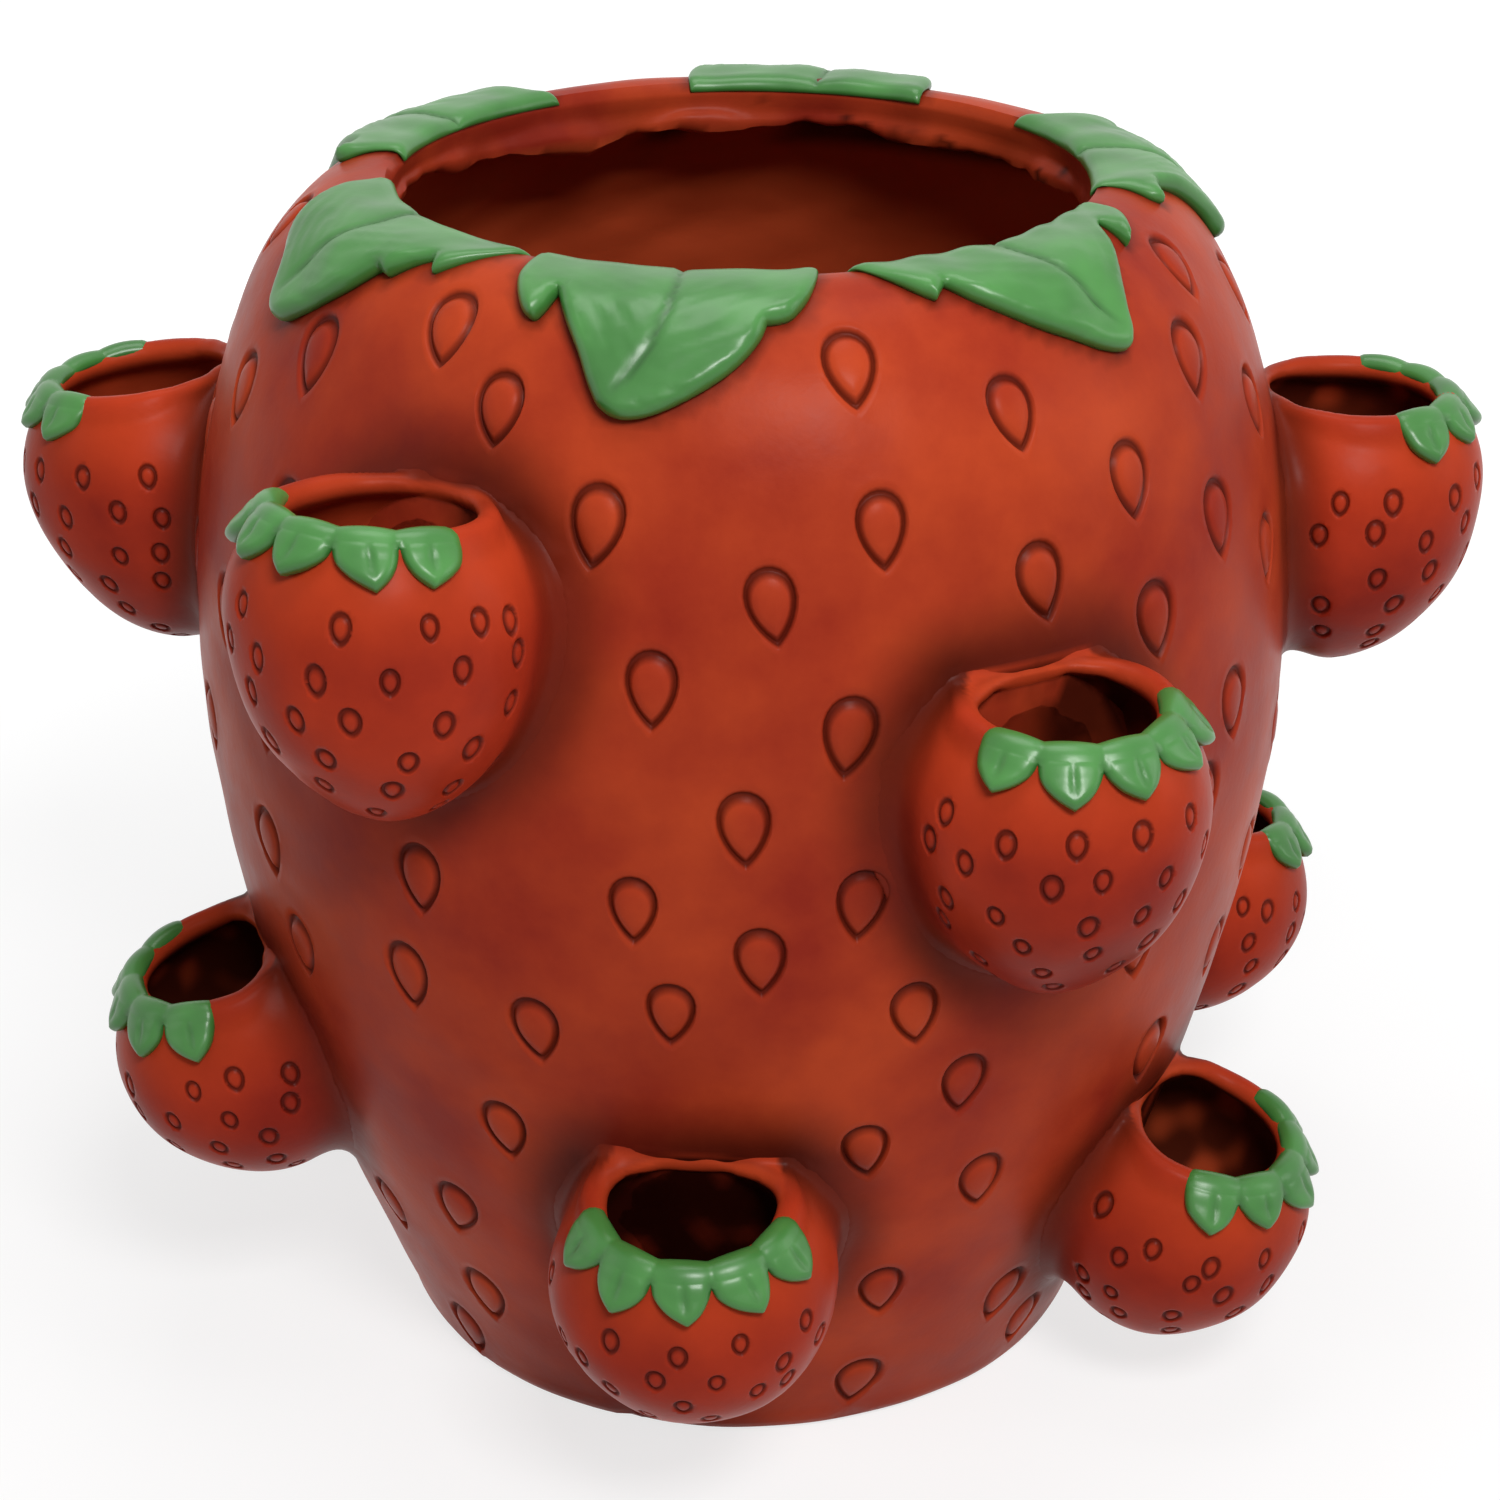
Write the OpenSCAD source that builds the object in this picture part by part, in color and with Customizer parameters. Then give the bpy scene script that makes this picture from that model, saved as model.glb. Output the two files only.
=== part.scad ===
// Strawberry-shaped planter: a hollow pot with small strawberry pockets all round,
// a crown of leaves at the mouth and a collar of leaflets on each pocket.
// Origin at the centre of the foot, +Z up, front of the planter towards -Y.
// Azimuths are in degrees from the front, positive towards +X.

/* [Pot] */
// Height from the floor to the rim
pot_h = 330; // [315:5:350]
// Widest diameter of the pot
belly_d = 296; // [284:2:308]
// Height of the widest point
belly_z = 205; // [195:5:220]
// Diameter of the foot
base_d = 196; // [184:2:208]
// Diameter of the mouth
mouth_d = 183; // [165:1:190]
// Roundness of the shoulder, where 2 is an ellipse
shoulder_power = 2.1; // [1.9:0.1:2.5]
// Thickness of the pot's wall
wall = 9; // [7:0.5:12]
// Thickness of the floor
floor_t = 12; // [9:1:16]
// Rounding of the mouth's edge
rim_round = 3; // [1.5:0.5:4]
// Rounding of the foot's edge
base_round = 5; // [2:0.5:8]
// Diameter of the drain hole in the floor
drain_d = 16; // [10:1:24]

/* [Pockets] */
// Widest diameter of a pocket
pocket_d = 76; // [70:1:80]
// Length of an upper pocket from its mouth to its tip
upper_pocket_l = 81; // [74:1:90]
// Length of a lower pocket from its mouth to its tip
lower_pocket_l = 70; // [64:1:78]
// Diameter of a pocket's mouth
pocket_mouth_d = 44; // [38:1:48]
// Thickness of a pocket's wall
pocket_wall = 5; // [4:0.5:6]
// Depth below its mouth at which a pocket is widest
pocket_widest = 26; // [20:1:32]
// Pointedness of a pocket's tip, where 0.5 is an ellipse
tip_power = 0.64; // [0.5:0.02:0.8]
// Diameter of the window through the pot's wall behind each pocket
window_d = 38; // [28:1:40]
// How far the window's top edge lies below the place where the pocket's room meets the pot
window_gap = 1; // [0:0.5:6]

/* [Crown leaves] */
// Width of a crown leaf along the rim
leaf_w = 72; // [60:1:80]
// Length of a crown leaf from the rim to its tip
leaf_l = 42; // [34:1:52]
// Thickness of a crown leaf along its middle
leaf_t = 5; // [3:0.5:7]
// Depth of the groove along a leaf's midrib
rib_groove = 1; // [0:0.25:2]

/* [Pocket collars] */
// Number of leaflets on a collar
leaflets = 5; // [4:1:8]
// Stretch of the pocket's rim that a collar covers, in degrees
collar_span = 158; // [120:2:200]
// Length of a leaflet from the pocket's lip to its tip
leaflet_l = 16; // [12:1:22]
// Length of a collar between two leaflets
collar_web = 5; // [3:1:9]
// Thickness of a leaflet along its middle
leaflet_t = 2.6; // [1.6:0.2:4]

/* [Hidden] */
// Film of adhesive under each leaf and collar
bond = 0.4;
// Stations along each half of a curved profile, and along the rounding of an edge
steps = 9;
lip_steps = 4;
pot_facets = 96;
pocket_facets = 64;
bore_facets = 48;
pot_red = "#a8442f";
pocket_red = "#b04a33";
leaf_green = "#5a9a55";

mouth_r = mouth_d / 2;
belly_r = belly_d / 2;
base_r = base_d / 2;
neck_r = mouth_r + rim_round;
pocket_r = pocket_d / 2;
pocket_mouth_r = pocket_mouth_d / 2;
lip_r = pocket_wall / 2;
// A pocket's tip is cast thicker than its side
tip_t = 1.6 * pocket_wall;
// How far the scoop behind a pocket's mouth rises above the mouth
scoop_up = 1;

// Pockets: name, azimuth, height of the mouth's centre as a share of the pot's height, how far
// the centre stands off the pot's skin as a share of the pocket's width, lean of the pocket
// away from the pot, and 1 for an upper or 0 for a lower one
POCKETS = [
    ["upper_pocket_left", -99, 0.803, 0.342, 7, 1],
    ["upper_pocket_front_left", -31, 0.873, 0.329, -1, 1],
    ["upper_pocket_front_right", 28, 0.733, 0.197, 4, 1],
    ["upper_pocket_right", 92, 0.809, 0.316, 1, 1],
    ["upper_pocket_back_right", 148, 0.727, 0.237, 4, 1],
    ["upper_pocket_back_left", -155, 0.715, 0.184, 4, 1],
    ["lower_pocket_left", -72, 0.367, 0.171, 15, 0],
    ["lower_pocket_front", -5, 0.321, 0.132, 10, 0],
    ["lower_pocket_front_right", 60, 0.255, 0.23, 16, 0],
    ["lower_pocket_right", 115, 0.339, 0.263, 9, 0],
    ["lower_pocket_back", 174, 0.279, 0.158, 12, 0],
    ["lower_pocket_back_left", -127, 0.315, 0.289, 9, 0],
];
// Crown leaves: name, azimuth at the rim, sideways reach of the tip
LEAVES = [
    ["crown_leaf_front", -10, -10],
    ["crown_leaf_front_right", 43, 9],
    ["crown_leaf_right", 99, -8],
    ["crown_leaf_back", 168, 8],
    ["crown_leaf_back_left", -120, -9],
    ["crown_leaf_left", -60, -10],
];
// Half the width of a leaf along its length, both as fractions, with one tooth on each side
LEAF_OUTLINE = [[0, 1], [0.28, 0.9], [0.42, 0.62], [0.5, 0.66], [0.75, 0.42], [1, 0.04]];

function collar_name(i) = str("collar_", POCKETS[i][0]);

// Skin of the pot: a quarter sine wave up to the belly, then a superellipse to the rim
function side_r(z) = base_r + (belly_r - base_r) * sin(90 * z / belly_z);
function side_point(i) = let (z = belly_z * i / steps) [side_r(z), z];
function shoulder_point(a) = [
    neck_r + (belly_r - neck_r) * pow(cos(a), 2 / shoulder_power),
    belly_z + (pot_h - belly_z) * pow(sin(a), 2 / shoulder_power)
];
SKIN = concat(
    [for (i = [1 : steps]) side_point(i)],
    [for (i = [1 : steps]) shoulder_point(90 * i / steps)]
);
function arc(centre, r, from, to, n) = [
    for (i = [0 : n]) let (a = from + (to - from) * i / n) centre + r * [cos(a), sin(a)]
];
FOOT_EDGE = arc([side_r(base_round) - base_round, base_round], base_round, -90, 0, lip_steps);
MOUTH_EDGE = arc([neck_r, pot_h - rim_round], rim_round, 90, 180, lip_steps);
LAST = len(SKIN) - 1;

function unit(v) = v / norm(v);
function right_of(v) = [v[1], -v[0]];
// Outward normal of a profile that runs upwards, at point i
function skin_normal(i) = right_of(unit(SKIN[min(i + 1, LAST)] - SKIN[max(i - 1, 0)]));
INSIDE = concat(
    [[mouth_r, pot_h - wall]],
    [for (i = [LAST - 1 : -1 : 0]) SKIN[i] - wall * skin_normal(i)],
    [[side_r(floor_t) - wall, floor_t], [0, floor_t]]
);

// Radius of the skin at height z, read off the same points that the solid is made of
SKIN_BY_Z = [for (p = SKIN) [p[1], p[0]]];
function skin_r(z) = lookup(z, SKIN_BY_Z);

// Distance from the rim along the skin, then radius and height at that distance
function run_from_rim(i) = i == LAST ? 0 : run_from_rim(i + 1) + norm(SKIN[i] - SKIN[i + 1]);
R_BY_RUN = [for (i = [LAST : -1 : 0]) [run_from_rim(i), SKIN[i][0]]];
Z_BY_RUN = [for (i = [LAST : -1 : 0]) [run_from_rim(i), SKIN[i][1]]];
function on_skin(run) = [lookup(run, R_BY_RUN), lookup(run, Z_BY_RUN)];
sight = 2;
function normal_at(run) = right_of(unit(on_skin(max(run - sight, 0)) - on_skin(run + sight)));

// Half-profiles of a pocket, with depth below its mouth as negative height: an arc of an
// ellipse from the lip to the widest place, then a pointed curve down to the tip
function berry(top_r, wide_r, depth) = concat(
    [for (i = [0 : steps - 3]) let (top_a = acos(top_r / wide_r), a = top_a * (1 - i / (steps - 2)))
        [wide_r * cos(a), (pocket_widest - lip_r) * sin(a) / sin(top_a) - pocket_widest]],
    [for (i = [0 : steps]) let (a = 90 * i / steps)
        [wide_r * pow(max(cos(a), 0), 2 * tip_power), -pocket_widest - (depth - pocket_widest) * sin(a)]]
);
function berry_out(depth) = berry(pocket_mouth_r + pocket_wall, pocket_r, depth);
function berry_in(depth) = berry(pocket_mouth_r, pocket_r - pocket_wall, depth - tip_t);
function reversed(v) = [for (i = [len(v) - 1 : -1 : 0]) v[i]];
LIP = arc([pocket_mouth_r + lip_r, -lip_r], lip_r, 180, 0, 2 * lip_steps);

function mouth_z(p) = pot_h * p[2];
function stand_off(p) = pocket_d * p[3];
function depth_of(p) = p[5] == 1 ? upper_pocket_l : lower_pocket_l;

// Moves a pocket from its own frame, mouth at the origin, to its place on the pot
module at_pocket(p)
    rotate([0, 0, p[1]])
        translate([0, -(skin_r(mouth_z(p)) + stand_off(p)), mouth_z(p)])
            rotate([p[4], 0, 0])
                children();

module pot_outside()
    rotate_extrude($fn = pot_facets)
        polygon(concat([[0, 0]], FOOT_EDGE, SKIN, [[0, pot_h]]));

// The room inside a pocket, which scoops the pot's wall at the mouth
module pocket_room(p)
    rotate_extrude($fn = pocket_facets)
        polygon(concat([[0, scoop_up], [pocket_mouth_r, scoop_up]], berry_in(depth_of(p))));

// Depth at which a pocket's room gets as wide as the pocket stands off the pot
function meeting_depth(p) = lookup(stand_off(p), [for (q = berry_in(depth_of(p))) if (q[1] > -pocket_widest)
    [q[0], -q[1]]]);
// Where a pocket opens into the pot, so that soil and roots run through
module window(p)
    translate([0, 0, -meeting_depth(p) - window_gap - window_d / 2])
        rotate([-90, 0, 0])
            cylinder(d = window_d, h = stand_off(p) + 4 * wall, $fn = bore_facets);

module pot_body()
    color(pot_red)
        difference() {
            rotate_extrude($fn = pot_facets)
                polygon(concat([[0, 0]], FOOT_EDGE, SKIN, MOUTH_EDGE, INSIDE));
            cylinder(d = drain_d, h = 3 * floor_t, center = true, $fn = bore_facets);
            for (p = POCKETS)
                at_pocket(p) {
                    pocket_room(p);
                    window(p);
                }
        }

module pocket(p)
    color(pocket_red)
        difference() {
            at_pocket(p)
                rotate_extrude($fn = pocket_facets)
                    polygon(concat(LIP, berry_out(depth_of(p)), reversed(berry_in(depth_of(p)))));
            pot_outside();
        }

// Closes two grids of points, the upper and the lower face of a leaf, into one solid
module leaf_solid(top, under) {
    rows = len(top);
    cols = len(top[0]);
    flat_top = [for (row = top) for (p = row) p];
    flat_under = [for (row = under) for (p = row) p];
    half = rows * cols;
    edge = concat(
        [for (c = [0 : cols - 1]) c],
        [for (r = [1 : rows - 1]) r * cols + cols - 1],
        [for (c = [cols - 2 : -1 : 0]) (rows - 1) * cols + c],
        [for (r = [rows - 2 : -1 : 1]) r * cols]
    );
    n = len(edge);
    faces = concat(
        [for (r = [0 : rows - 2]) for (c = [0 : cols - 2]) let (k = r * cols + c)
            each [[k, k + 1, k + cols + 1], [k, k + cols + 1, k + cols]]],
        [for (r = [0 : rows - 2]) for (c = [0 : cols - 2]) let (k = half + r * cols + c)
            each [[k, k + cols + 1, k + 1], [k, k + cols, k + cols + 1]]],
        [for (i = [0 : n - 1]) let (a = edge[i], b = edge[(i + 1) % n])
            each [[a, half + a, half + b], [a, half + b, b]]]
    );
    polyhedron(points = concat(flat_top, flat_under), faces = faces);
}

// A point over the pot's skin: how far down from the rim, sideways, and how high above it
function over_pot(azimuth, down, across, up) =
    let (q = on_skin(down) + up * normal_at(down), a = azimuth + across / on_skin(down)[0] * 180 / PI)
    [q[0] * sin(a), -q[0] * cos(a), q[1]];

leaf_rows = 10;
leaf_cols = 8;
// Share of its thickness that a leaf loses towards its edge, and how late its tip bends aside
leaf_thinning = 0.5;
tip_bend = 1.3;
function leaf_height(v) =
    leaf_t * (1 - leaf_thinning * v * v) - rib_groove * max(0, 1 - abs(v) * leaf_cols / 2);
function leaf_face(l, top) = [
    for (i = [0 : leaf_rows]) [
        for (j = [0 : leaf_cols])
            let (u = i / leaf_rows, v = 2 * j / leaf_cols - 1)
            over_pot(l[1], leaf_l * u, l[2] * pow(u, tip_bend) + v * leaf_w / 2 * lookup(u, LEAF_OUTLINE),
                top ? bond + leaf_height(v) : bond)
    ]
];

module crown_leaf(l)
    color(leaf_green)
        leaf_solid(leaf_face(l, true), leaf_face(l, false));

// A point over a pocket's skin, in the pocket's frame, at a turn from its outermost line
function over_pocket(profile, turn, depth, up) =
    let (d = [for (p = profile) [-p[1], p[0]]],
        q = [lookup(depth, d), -depth],
        above = [lookup(depth - sight, d), sight - depth],
        below = [lookup(depth + sight, d), -sight - depth],
        s = q + up * right_of(unit(above - below)))
    [s[0] * sin(turn), -s[0] * cos(turn), s[1]];

leaflet_cols = 4;
collar_rows = 4;
// A collar starts just below the lip's rounding
collar_top = lip_r + 1;
// Share of its thickness that a leaflet keeps at its sides, and the bluntness of its tip
leaflet_side = 0.45;
leaflet_blunt = 0.7;
function collar_face(profile, top) = [
    for (i = [0 : collar_rows]) [
        for (j = [0 : leaflets * leaflet_cols])
            let (tooth = 1 - abs(2 * (j / leaflet_cols - floor(j / leaflet_cols)) - 1),
                turn = collar_span * (j / (leaflets * leaflet_cols) - 0.5),
                reach = collar_web + (leaflet_l - collar_web) * pow(tooth, leaflet_blunt))
            over_pocket(profile, turn, collar_top + reach * i / collar_rows,
                top ? bond + leaflet_t * (leaflet_side + (1 - leaflet_side) * tooth) : bond)
    ]
];

module collar(p)
    color(leaf_green)
        at_pocket(p)
            leaf_solid(collar_face(berry_out(depth_of(p)), true), collar_face(berry_out(depth_of(p)), false));

pot_body();
for (p = POCKETS)
    pocket(p);
for (i = [0 : len(POCKETS) - 1])
    collar(POCKETS[i]);
for (l = LEAVES)
    crown_leaf(l);
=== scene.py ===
import math

import bpy
import numpy as np
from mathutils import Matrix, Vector
from mathutils.geometry import delaunay_2d_cdt


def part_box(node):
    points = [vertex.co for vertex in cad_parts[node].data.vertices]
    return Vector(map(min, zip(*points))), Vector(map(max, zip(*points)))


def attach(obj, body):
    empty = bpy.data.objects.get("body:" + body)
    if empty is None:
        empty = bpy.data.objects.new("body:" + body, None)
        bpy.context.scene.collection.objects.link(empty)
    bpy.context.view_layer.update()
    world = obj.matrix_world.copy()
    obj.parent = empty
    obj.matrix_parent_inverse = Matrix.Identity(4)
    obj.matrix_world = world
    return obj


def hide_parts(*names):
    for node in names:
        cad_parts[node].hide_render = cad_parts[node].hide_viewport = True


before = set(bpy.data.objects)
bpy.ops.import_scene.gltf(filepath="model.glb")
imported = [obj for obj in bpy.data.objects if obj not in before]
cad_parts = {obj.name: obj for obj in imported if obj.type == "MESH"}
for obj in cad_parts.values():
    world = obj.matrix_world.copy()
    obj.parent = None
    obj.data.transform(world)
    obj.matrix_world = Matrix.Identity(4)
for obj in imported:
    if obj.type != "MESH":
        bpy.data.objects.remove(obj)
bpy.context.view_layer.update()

# A strawberry-shaped planter of hand-painted cast resin: a big hollow pot with incised
# seeds, small strawberry pockets round it, leafy collars and a crown of leaves.
# Directions are as in the frame: Z up, the front towards -Y. Azimuths run from the front,
# positive towards +X. Lengths are metres.

bl_info = {
    "name": "Strawberry planter",
    "version": (1, 0, 0),
    "blender": (4, 5, 0),
    "location": "View3D > Sidebar > Planter",
    "description": "Builds the painted look of a strawberry planter over its packed frame",
    "category": "Add Mesh",
}

MM = 0.001
POT_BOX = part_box("pot_body")

# Pockets: azimuth in degrees, height of the mouth as a share of the pot's height, how far
# the mouth's centre stands off the skin as a share of the pocket's width, lean away from
# the pot in degrees, further tilt of the mouth's rim, and whether it is a longer upper one
POCKETS = {
    "upper_pocket_left": (-99, 0.803, 0.342, 7, 0, True),
    "upper_pocket_front_left": (-31, 0.873, 0.329, -1, -7, True),
    "upper_pocket_front_right": (28, 0.733, 0.197, 4, 0, True),
    "upper_pocket_right": (92, 0.809, 0.316, 1, 0, True),
    "upper_pocket_back_right": (148, 0.727, 0.237, 4, 0, True),
    "upper_pocket_back_left": (-155, 0.715, 0.184, 4, 0, True),
    "lower_pocket_left": (-72, 0.367, 0.171, 15, 0, False),
    "lower_pocket_front": (-5, 0.321, 0.132, 10, 3, False),
    "lower_pocket_front_right": (60, 0.255, 0.23, 16, 0, False),
    "lower_pocket_right": (115, 0.339, 0.263, 9, 0, False),
    "lower_pocket_back": (174, 0.279, 0.158, 12, 0, False),
    "lower_pocket_back_left": (-127, 0.315, 0.289, 9, 0, False),
}

# The width that the shares of the pockets' stand are of
POCKET_WIDTH = 76 * MM

# Forms of the crown leaves: the outline as millimetres across and down from the rim with 1 at
# a sharp corner, and the midrib from the rim to the tip
FRONT_LEAF = (
    [(-34, -4.4, 1), (-36, 4, 0), (-36.5, 12, 0), (-33.5, 20, 0), (-30, 22.5, 0), (-27.5, 20, 0),
     (-25, 14.5, 1), (-21.5, 22, 0), (-17.3, 29.5, 0), (-13.9, 37, 0), (-10.5, 42, 0),
     (-5, 44, 0), (3, 42, 0), (13.6, 36, 0), (20.2, 30.5, 0), (24.4, 24.5, 0), (25.6, 20, 1),
     (28, 19.8, 0), (31.3, 18.4, 0), (34.2, 13, 0), (35, 5, 0), (34, -4.4, 1)],
    [(2, -4.4), (3, 10), (2.6, 18), (0, 28), (-4.5, 35), (-8.5, 39.5)],
)
LEFT_LEAF = (
    [(43, -4.4, 1), (38.5, 7.5, 0), (35.8, 13, 0), (34, 15.9, 1), (29.6, 11.7, 1), (26.5, 15, 0),
     (22.8, 20.4, 1), (18.6, 19.6, 1), (13.5, 27, 0), (6.6, 33.5, 0), (0, 38.5, 0),
     (-6.5, 42, 0), (-12, 41, 0), (-15.5, 37, 0), (-19.4, 31, 0), (-26, 26, 0), (-31, 20, 0),
     (-33.5, 14, 0), (-37, 7, 0), (-36, -4.4, 1)],
    [(-2, -4.4), (-1, 8), (-2.5, 18), (-6, 28), (-9.5, 37)],
)
RIGHT_FRONT_LEAF = (
    [(-44, -4.4, 1), (-42, 6, 0), (-39, 13, 0), (-36, 16.6, 1), (-31, 12.6, 1), (-27.3, 18.2, 0),
     (-21.5, 23.5, 0), (-14.5, 28.9, 0), (-6.1, 33.8, 0), (1, 37.8, 0), (7.5, 39.6, 0),
     (10.6, 36.5, 0), (12.4, 31, 0), (15.8, 25, 0), (21.9, 16.5, 0), (27.5, 9, 0),
     (30.6, 7.2, 1), (30.8, 12, 0), (30.4, 16.6, 1), (35, 14, 0), (41.5, 7.5, 0), (42, -4.4, 1)],
    [(-3, -4.4), (-2.6, 8), (-1, 17), (2.6, 27), (7, 36)],
)
RIGHT_LEAF = (
    [(-32, -4.4, 1), (-35, 5, 0), (-38.5, 12, 0), (-38, 15.5, 1), (-32, 13.5, 0), (-27, 13, 1),
     (-22, 19, 0), (-17, 26, 0), (-13, 33, 0), (-10, 39.5, 0), (-6, 41.5, 0), (0, 38.5, 0),
     (8, 32, 0), (17, 26, 0), (23, 21, 0), (27, 16, 1), (31, 19, 0), (35, 16, 0),
     (39, 8, 0), (41, -4.4, 1)],
    [(3, -4.4), (2, 8), (-1, 18), (-5, 28), (-8, 37)],
)
# Crown leaves: azimuth in degrees, -1 for a mirrored form, and the form
CROWN_LEAVES = {
    "crown_leaf_front": (-10, 1, FRONT_LEAF),
    "crown_leaf_front_right": (43, 1, RIGHT_FRONT_LEAF),
    "crown_leaf_right": (99, 1, RIGHT_LEAF),
    "crown_leaf_back": (168, -1, FRONT_LEAF),
    "crown_leaf_back_left": (-120, -1, RIGHT_LEAF),
    "crown_leaf_left": (-60, 1, LEFT_LEAF),
}

# Rows of incised seeds on the pot: millimetres down from the rim along the skin, azimuth of
# one seed of the row, and how many the row has all round
SEED_ROWS = [
    (28, 15, 7), (48, 2, 13), (67, 15, 13), (86, 2, 13), (104, 17, 14), (121, 9, 20),
    (140, 0, 19), (164, 11, 17), (179, 1, 19), (196, 18, 14), (206, 8, 12), (223, -15, 9),
    (241, 13, 9), (259, 29, 8), (280, -35, 9), (300, 19, 10), (320, 0, 9), (341, 17, 11),
]


def linear(hex_code):
    """Linear colour from an sRGB hex code."""
    parts = [int(hex_code[i:i + 2], 16) / 255 for i in (1, 3, 5)]
    return [p / 12.92 if p <= 0.04045 else ((p + 0.055) / 1.055) ** 2.4 for p in parts]


def length(name, description, millimetres):
    """A length that is given in millimetres and kept in metres."""
    return bpy.props.FloatProperty(
        name=name, description=description, default=millimetres * MM, unit="LENGTH", precision=4)


def paint(name, description, hex_code):
    """A colour that is given as an sRGB hex code."""
    return bpy.props.FloatVectorProperty(
        name=name, description=description, default=linear(hex_code), subtype="COLOR",
        size=3, min=0, max=1)


class PlanterPot(bpy.types.PropertyGroup):
    """Sizes of the big pot."""
    height: length("Height", "From the ground to the rim", POT_BOX[1][2] / MM)
    belly: length("Belly", "Radius at the widest point", (POT_BOX[1][0] - POT_BOX[0][0]) / 2 / MM)
    belly_height: length("Belly height", "Height of the widest point", 205)
    foot: length("Foot", "Radius of the foot", 98)
    mouth: length("Mouth", "Radius of the mouth", 91.5)
    wall: length("Wall", "Thickness of the wall", 9)
    floor: length("Floor", "Thickness of the floor", 12)
    rim_round: length("Rim rounding", "Rounding of the mouth's edge", 3)
    foot_round: length("Foot rounding", "Rounding of the foot's edge", 5)
    drain: length("Drain", "Radius of the drain hole", 8)
    uneven: length("Unevenness", "How far the hand-smoothed skin strays", 0.4)
    torn: length("Torn edge", "How far the raw edge under the mouth strays", 2.6)
    shoulder: bpy.props.FloatProperty(
        name="Shoulder", description="Roundness of the shoulder, 2 for an ellipse", default=2.1)


class PlanterPockets(bpy.types.PropertyGroup):
    """Sizes of the strawberry pockets."""
    belly: length("Belly", "Radius of a pocket at its widest", 37)
    upper_length: length("Upper length", "From the mouth to the tip of an upper pocket", 78)
    lower_length: length("Lower length", "From the mouth to the tip of a lower pocket", 69)
    mouth: length("Mouth", "Radius of a pocket's mouth", 23)
    wall: length("Wall", "Thickness of a pocket's wall", 4)
    widest: length("Widest", "Depth at which a pocket is widest", 26)
    window: length("Window", "Radius of the opening through the pot's wall", 19)
    far_wall: length("Far wall", "Pot's skin that shows in an upper pocket above its window", 9)
    back_lip: length("Back lip", "Radius of the rolled lip where it lies on the pot", 1.4)
    back_rise: length("Back rise", "How much an upper pocket's lip rises to the pot", 1.5)
    lower_rise: length("Lower rise", "How much a lower pocket's lip rises to the pot", 3.2)
    fillet: length("Fillet", "Reach of the filler between a pocket and the pot", 11)
    uneven: length("Unevenness", "How far a pocket's skin strays", 0.4)
    tip: bpy.props.FloatProperty(
        name="Tip", description="Pointedness of the tip, 0.5 for an ellipse", default=0.64)


class PlanterLeaves(bpy.types.PropertyGroup):
    """Sizes of the crown leaves and of the leaflets on the pockets' collars."""
    thickness: length("Leaf thickness", "Thickness of a crown leaf", 5)
    rim_thickness: length("Thickness at the rim", "Thickness of a crown leaf at the rim", 1.6)
    edge: length("Rolled edge", "Width of the rolled edge of a crown leaf", 3.2)
    groove: length("Midrib", "Depth of the midrib's groove", 0.9)
    leaflet: length("Leaflet length", "From the pocket's mouth to a leaflet's tip", 15.8)
    leaflet_thickness: length("Leaflet thickness", "Thickness of a leaflet", 2.6)
    leaflet_edge: length("Leaflet edge", "Width of the rolled edge of a leaflet", 2.2)
    span: bpy.props.FloatProperty(
        name="Collar", description="Stretch of the lip that a collar covers",
        default=math.radians(150), subtype="ANGLE")
    leaflets: bpy.props.IntProperty(name="Leaflets", description="Leaflets on a collar", default=5)


class PlanterSeeds(bpy.types.PropertyGroup):
    """Sizes of the incised seeds."""
    width: length("Width", "Width of a seed on the pot", 13.2)
    length: length("Length", "Length of a seed on the pot", 20.5)
    depth: length("Depth", "Depth of the groove round a seed on the pot", 1.3)
    small_width: length("Small width", "Width of a seed on a pocket", 5.2)
    small_length: length("Small length", "Length of a seed on a pocket", 7.4)
    small_depth: length("Small depth", "Depth of the groove round a seed on a pocket", 0.8)


class PlanterPaints(bpy.types.PropertyGroup):
    """Colours of the paints and of the raw resin."""
    pot_red: paint("Pot red", "Main red of the pot", "#bf4624")
    pot_deep: paint("Pot deep red", "Deeper red in the pot's mottling", "#982c1c")
    pocket_red: paint("Pocket red", "Main red of the pockets", "#bd3b20")
    pocket_deep: paint("Pocket deep red", "Deeper red in the pockets' mottling", "#93281a")
    # lighter orange laid as a painted highlight on the pockets' lips and tops
    lip: paint("Lip orange", "Orange of the pockets' lips", "#cc4a22")
    # near-black brown laid as painted shade in grooves, in corners, beside the crown leaves and on
    # the band under the rim
    painted_shade: paint("Wash", "Dark wash left in grooves and corners", "#2c0a08")
    raw: paint("Raw resin", "Brown-red resin inside", "#b24624")
    # near-black laid as painted shade along the holes' edges, inside the pockets, under the lips
    # and on the torn edge
    cut: paint("Cut edge", "Charred edge of the holes cut through the wall", "#120504")
    green: paint("Leaf green", "Main green of the leaves", "#4f9247")
    green_deep: paint("Deep green", "Deeper green in the leaves' hollows", "#3a7434")
    # the darkest green is painted shade in the midribs and between leaflets; the edge green is
    # painted shade on the rolled edges and undersides
    crease_shade_green: paint("Crease green", "Darkest green, in the leaves' midribs", "#1f4a1c")
    edge_shade_green: paint("Edge green", "Dark green along the leaves' edges", "#2f6a28")


def unit(vectors):
    """Vectors of the same directions with a length of 1."""
    return vectors / np.maximum(np.linalg.norm(vectors, axis=-1, keepdims=True), 1e-12)


def smooth_step(x):
    """A soft change from 0 to 1 while a share goes from 0 to 1."""
    x = np.clip(x, 0, 1)
    return x * x * (3 - 2 * x)


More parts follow.
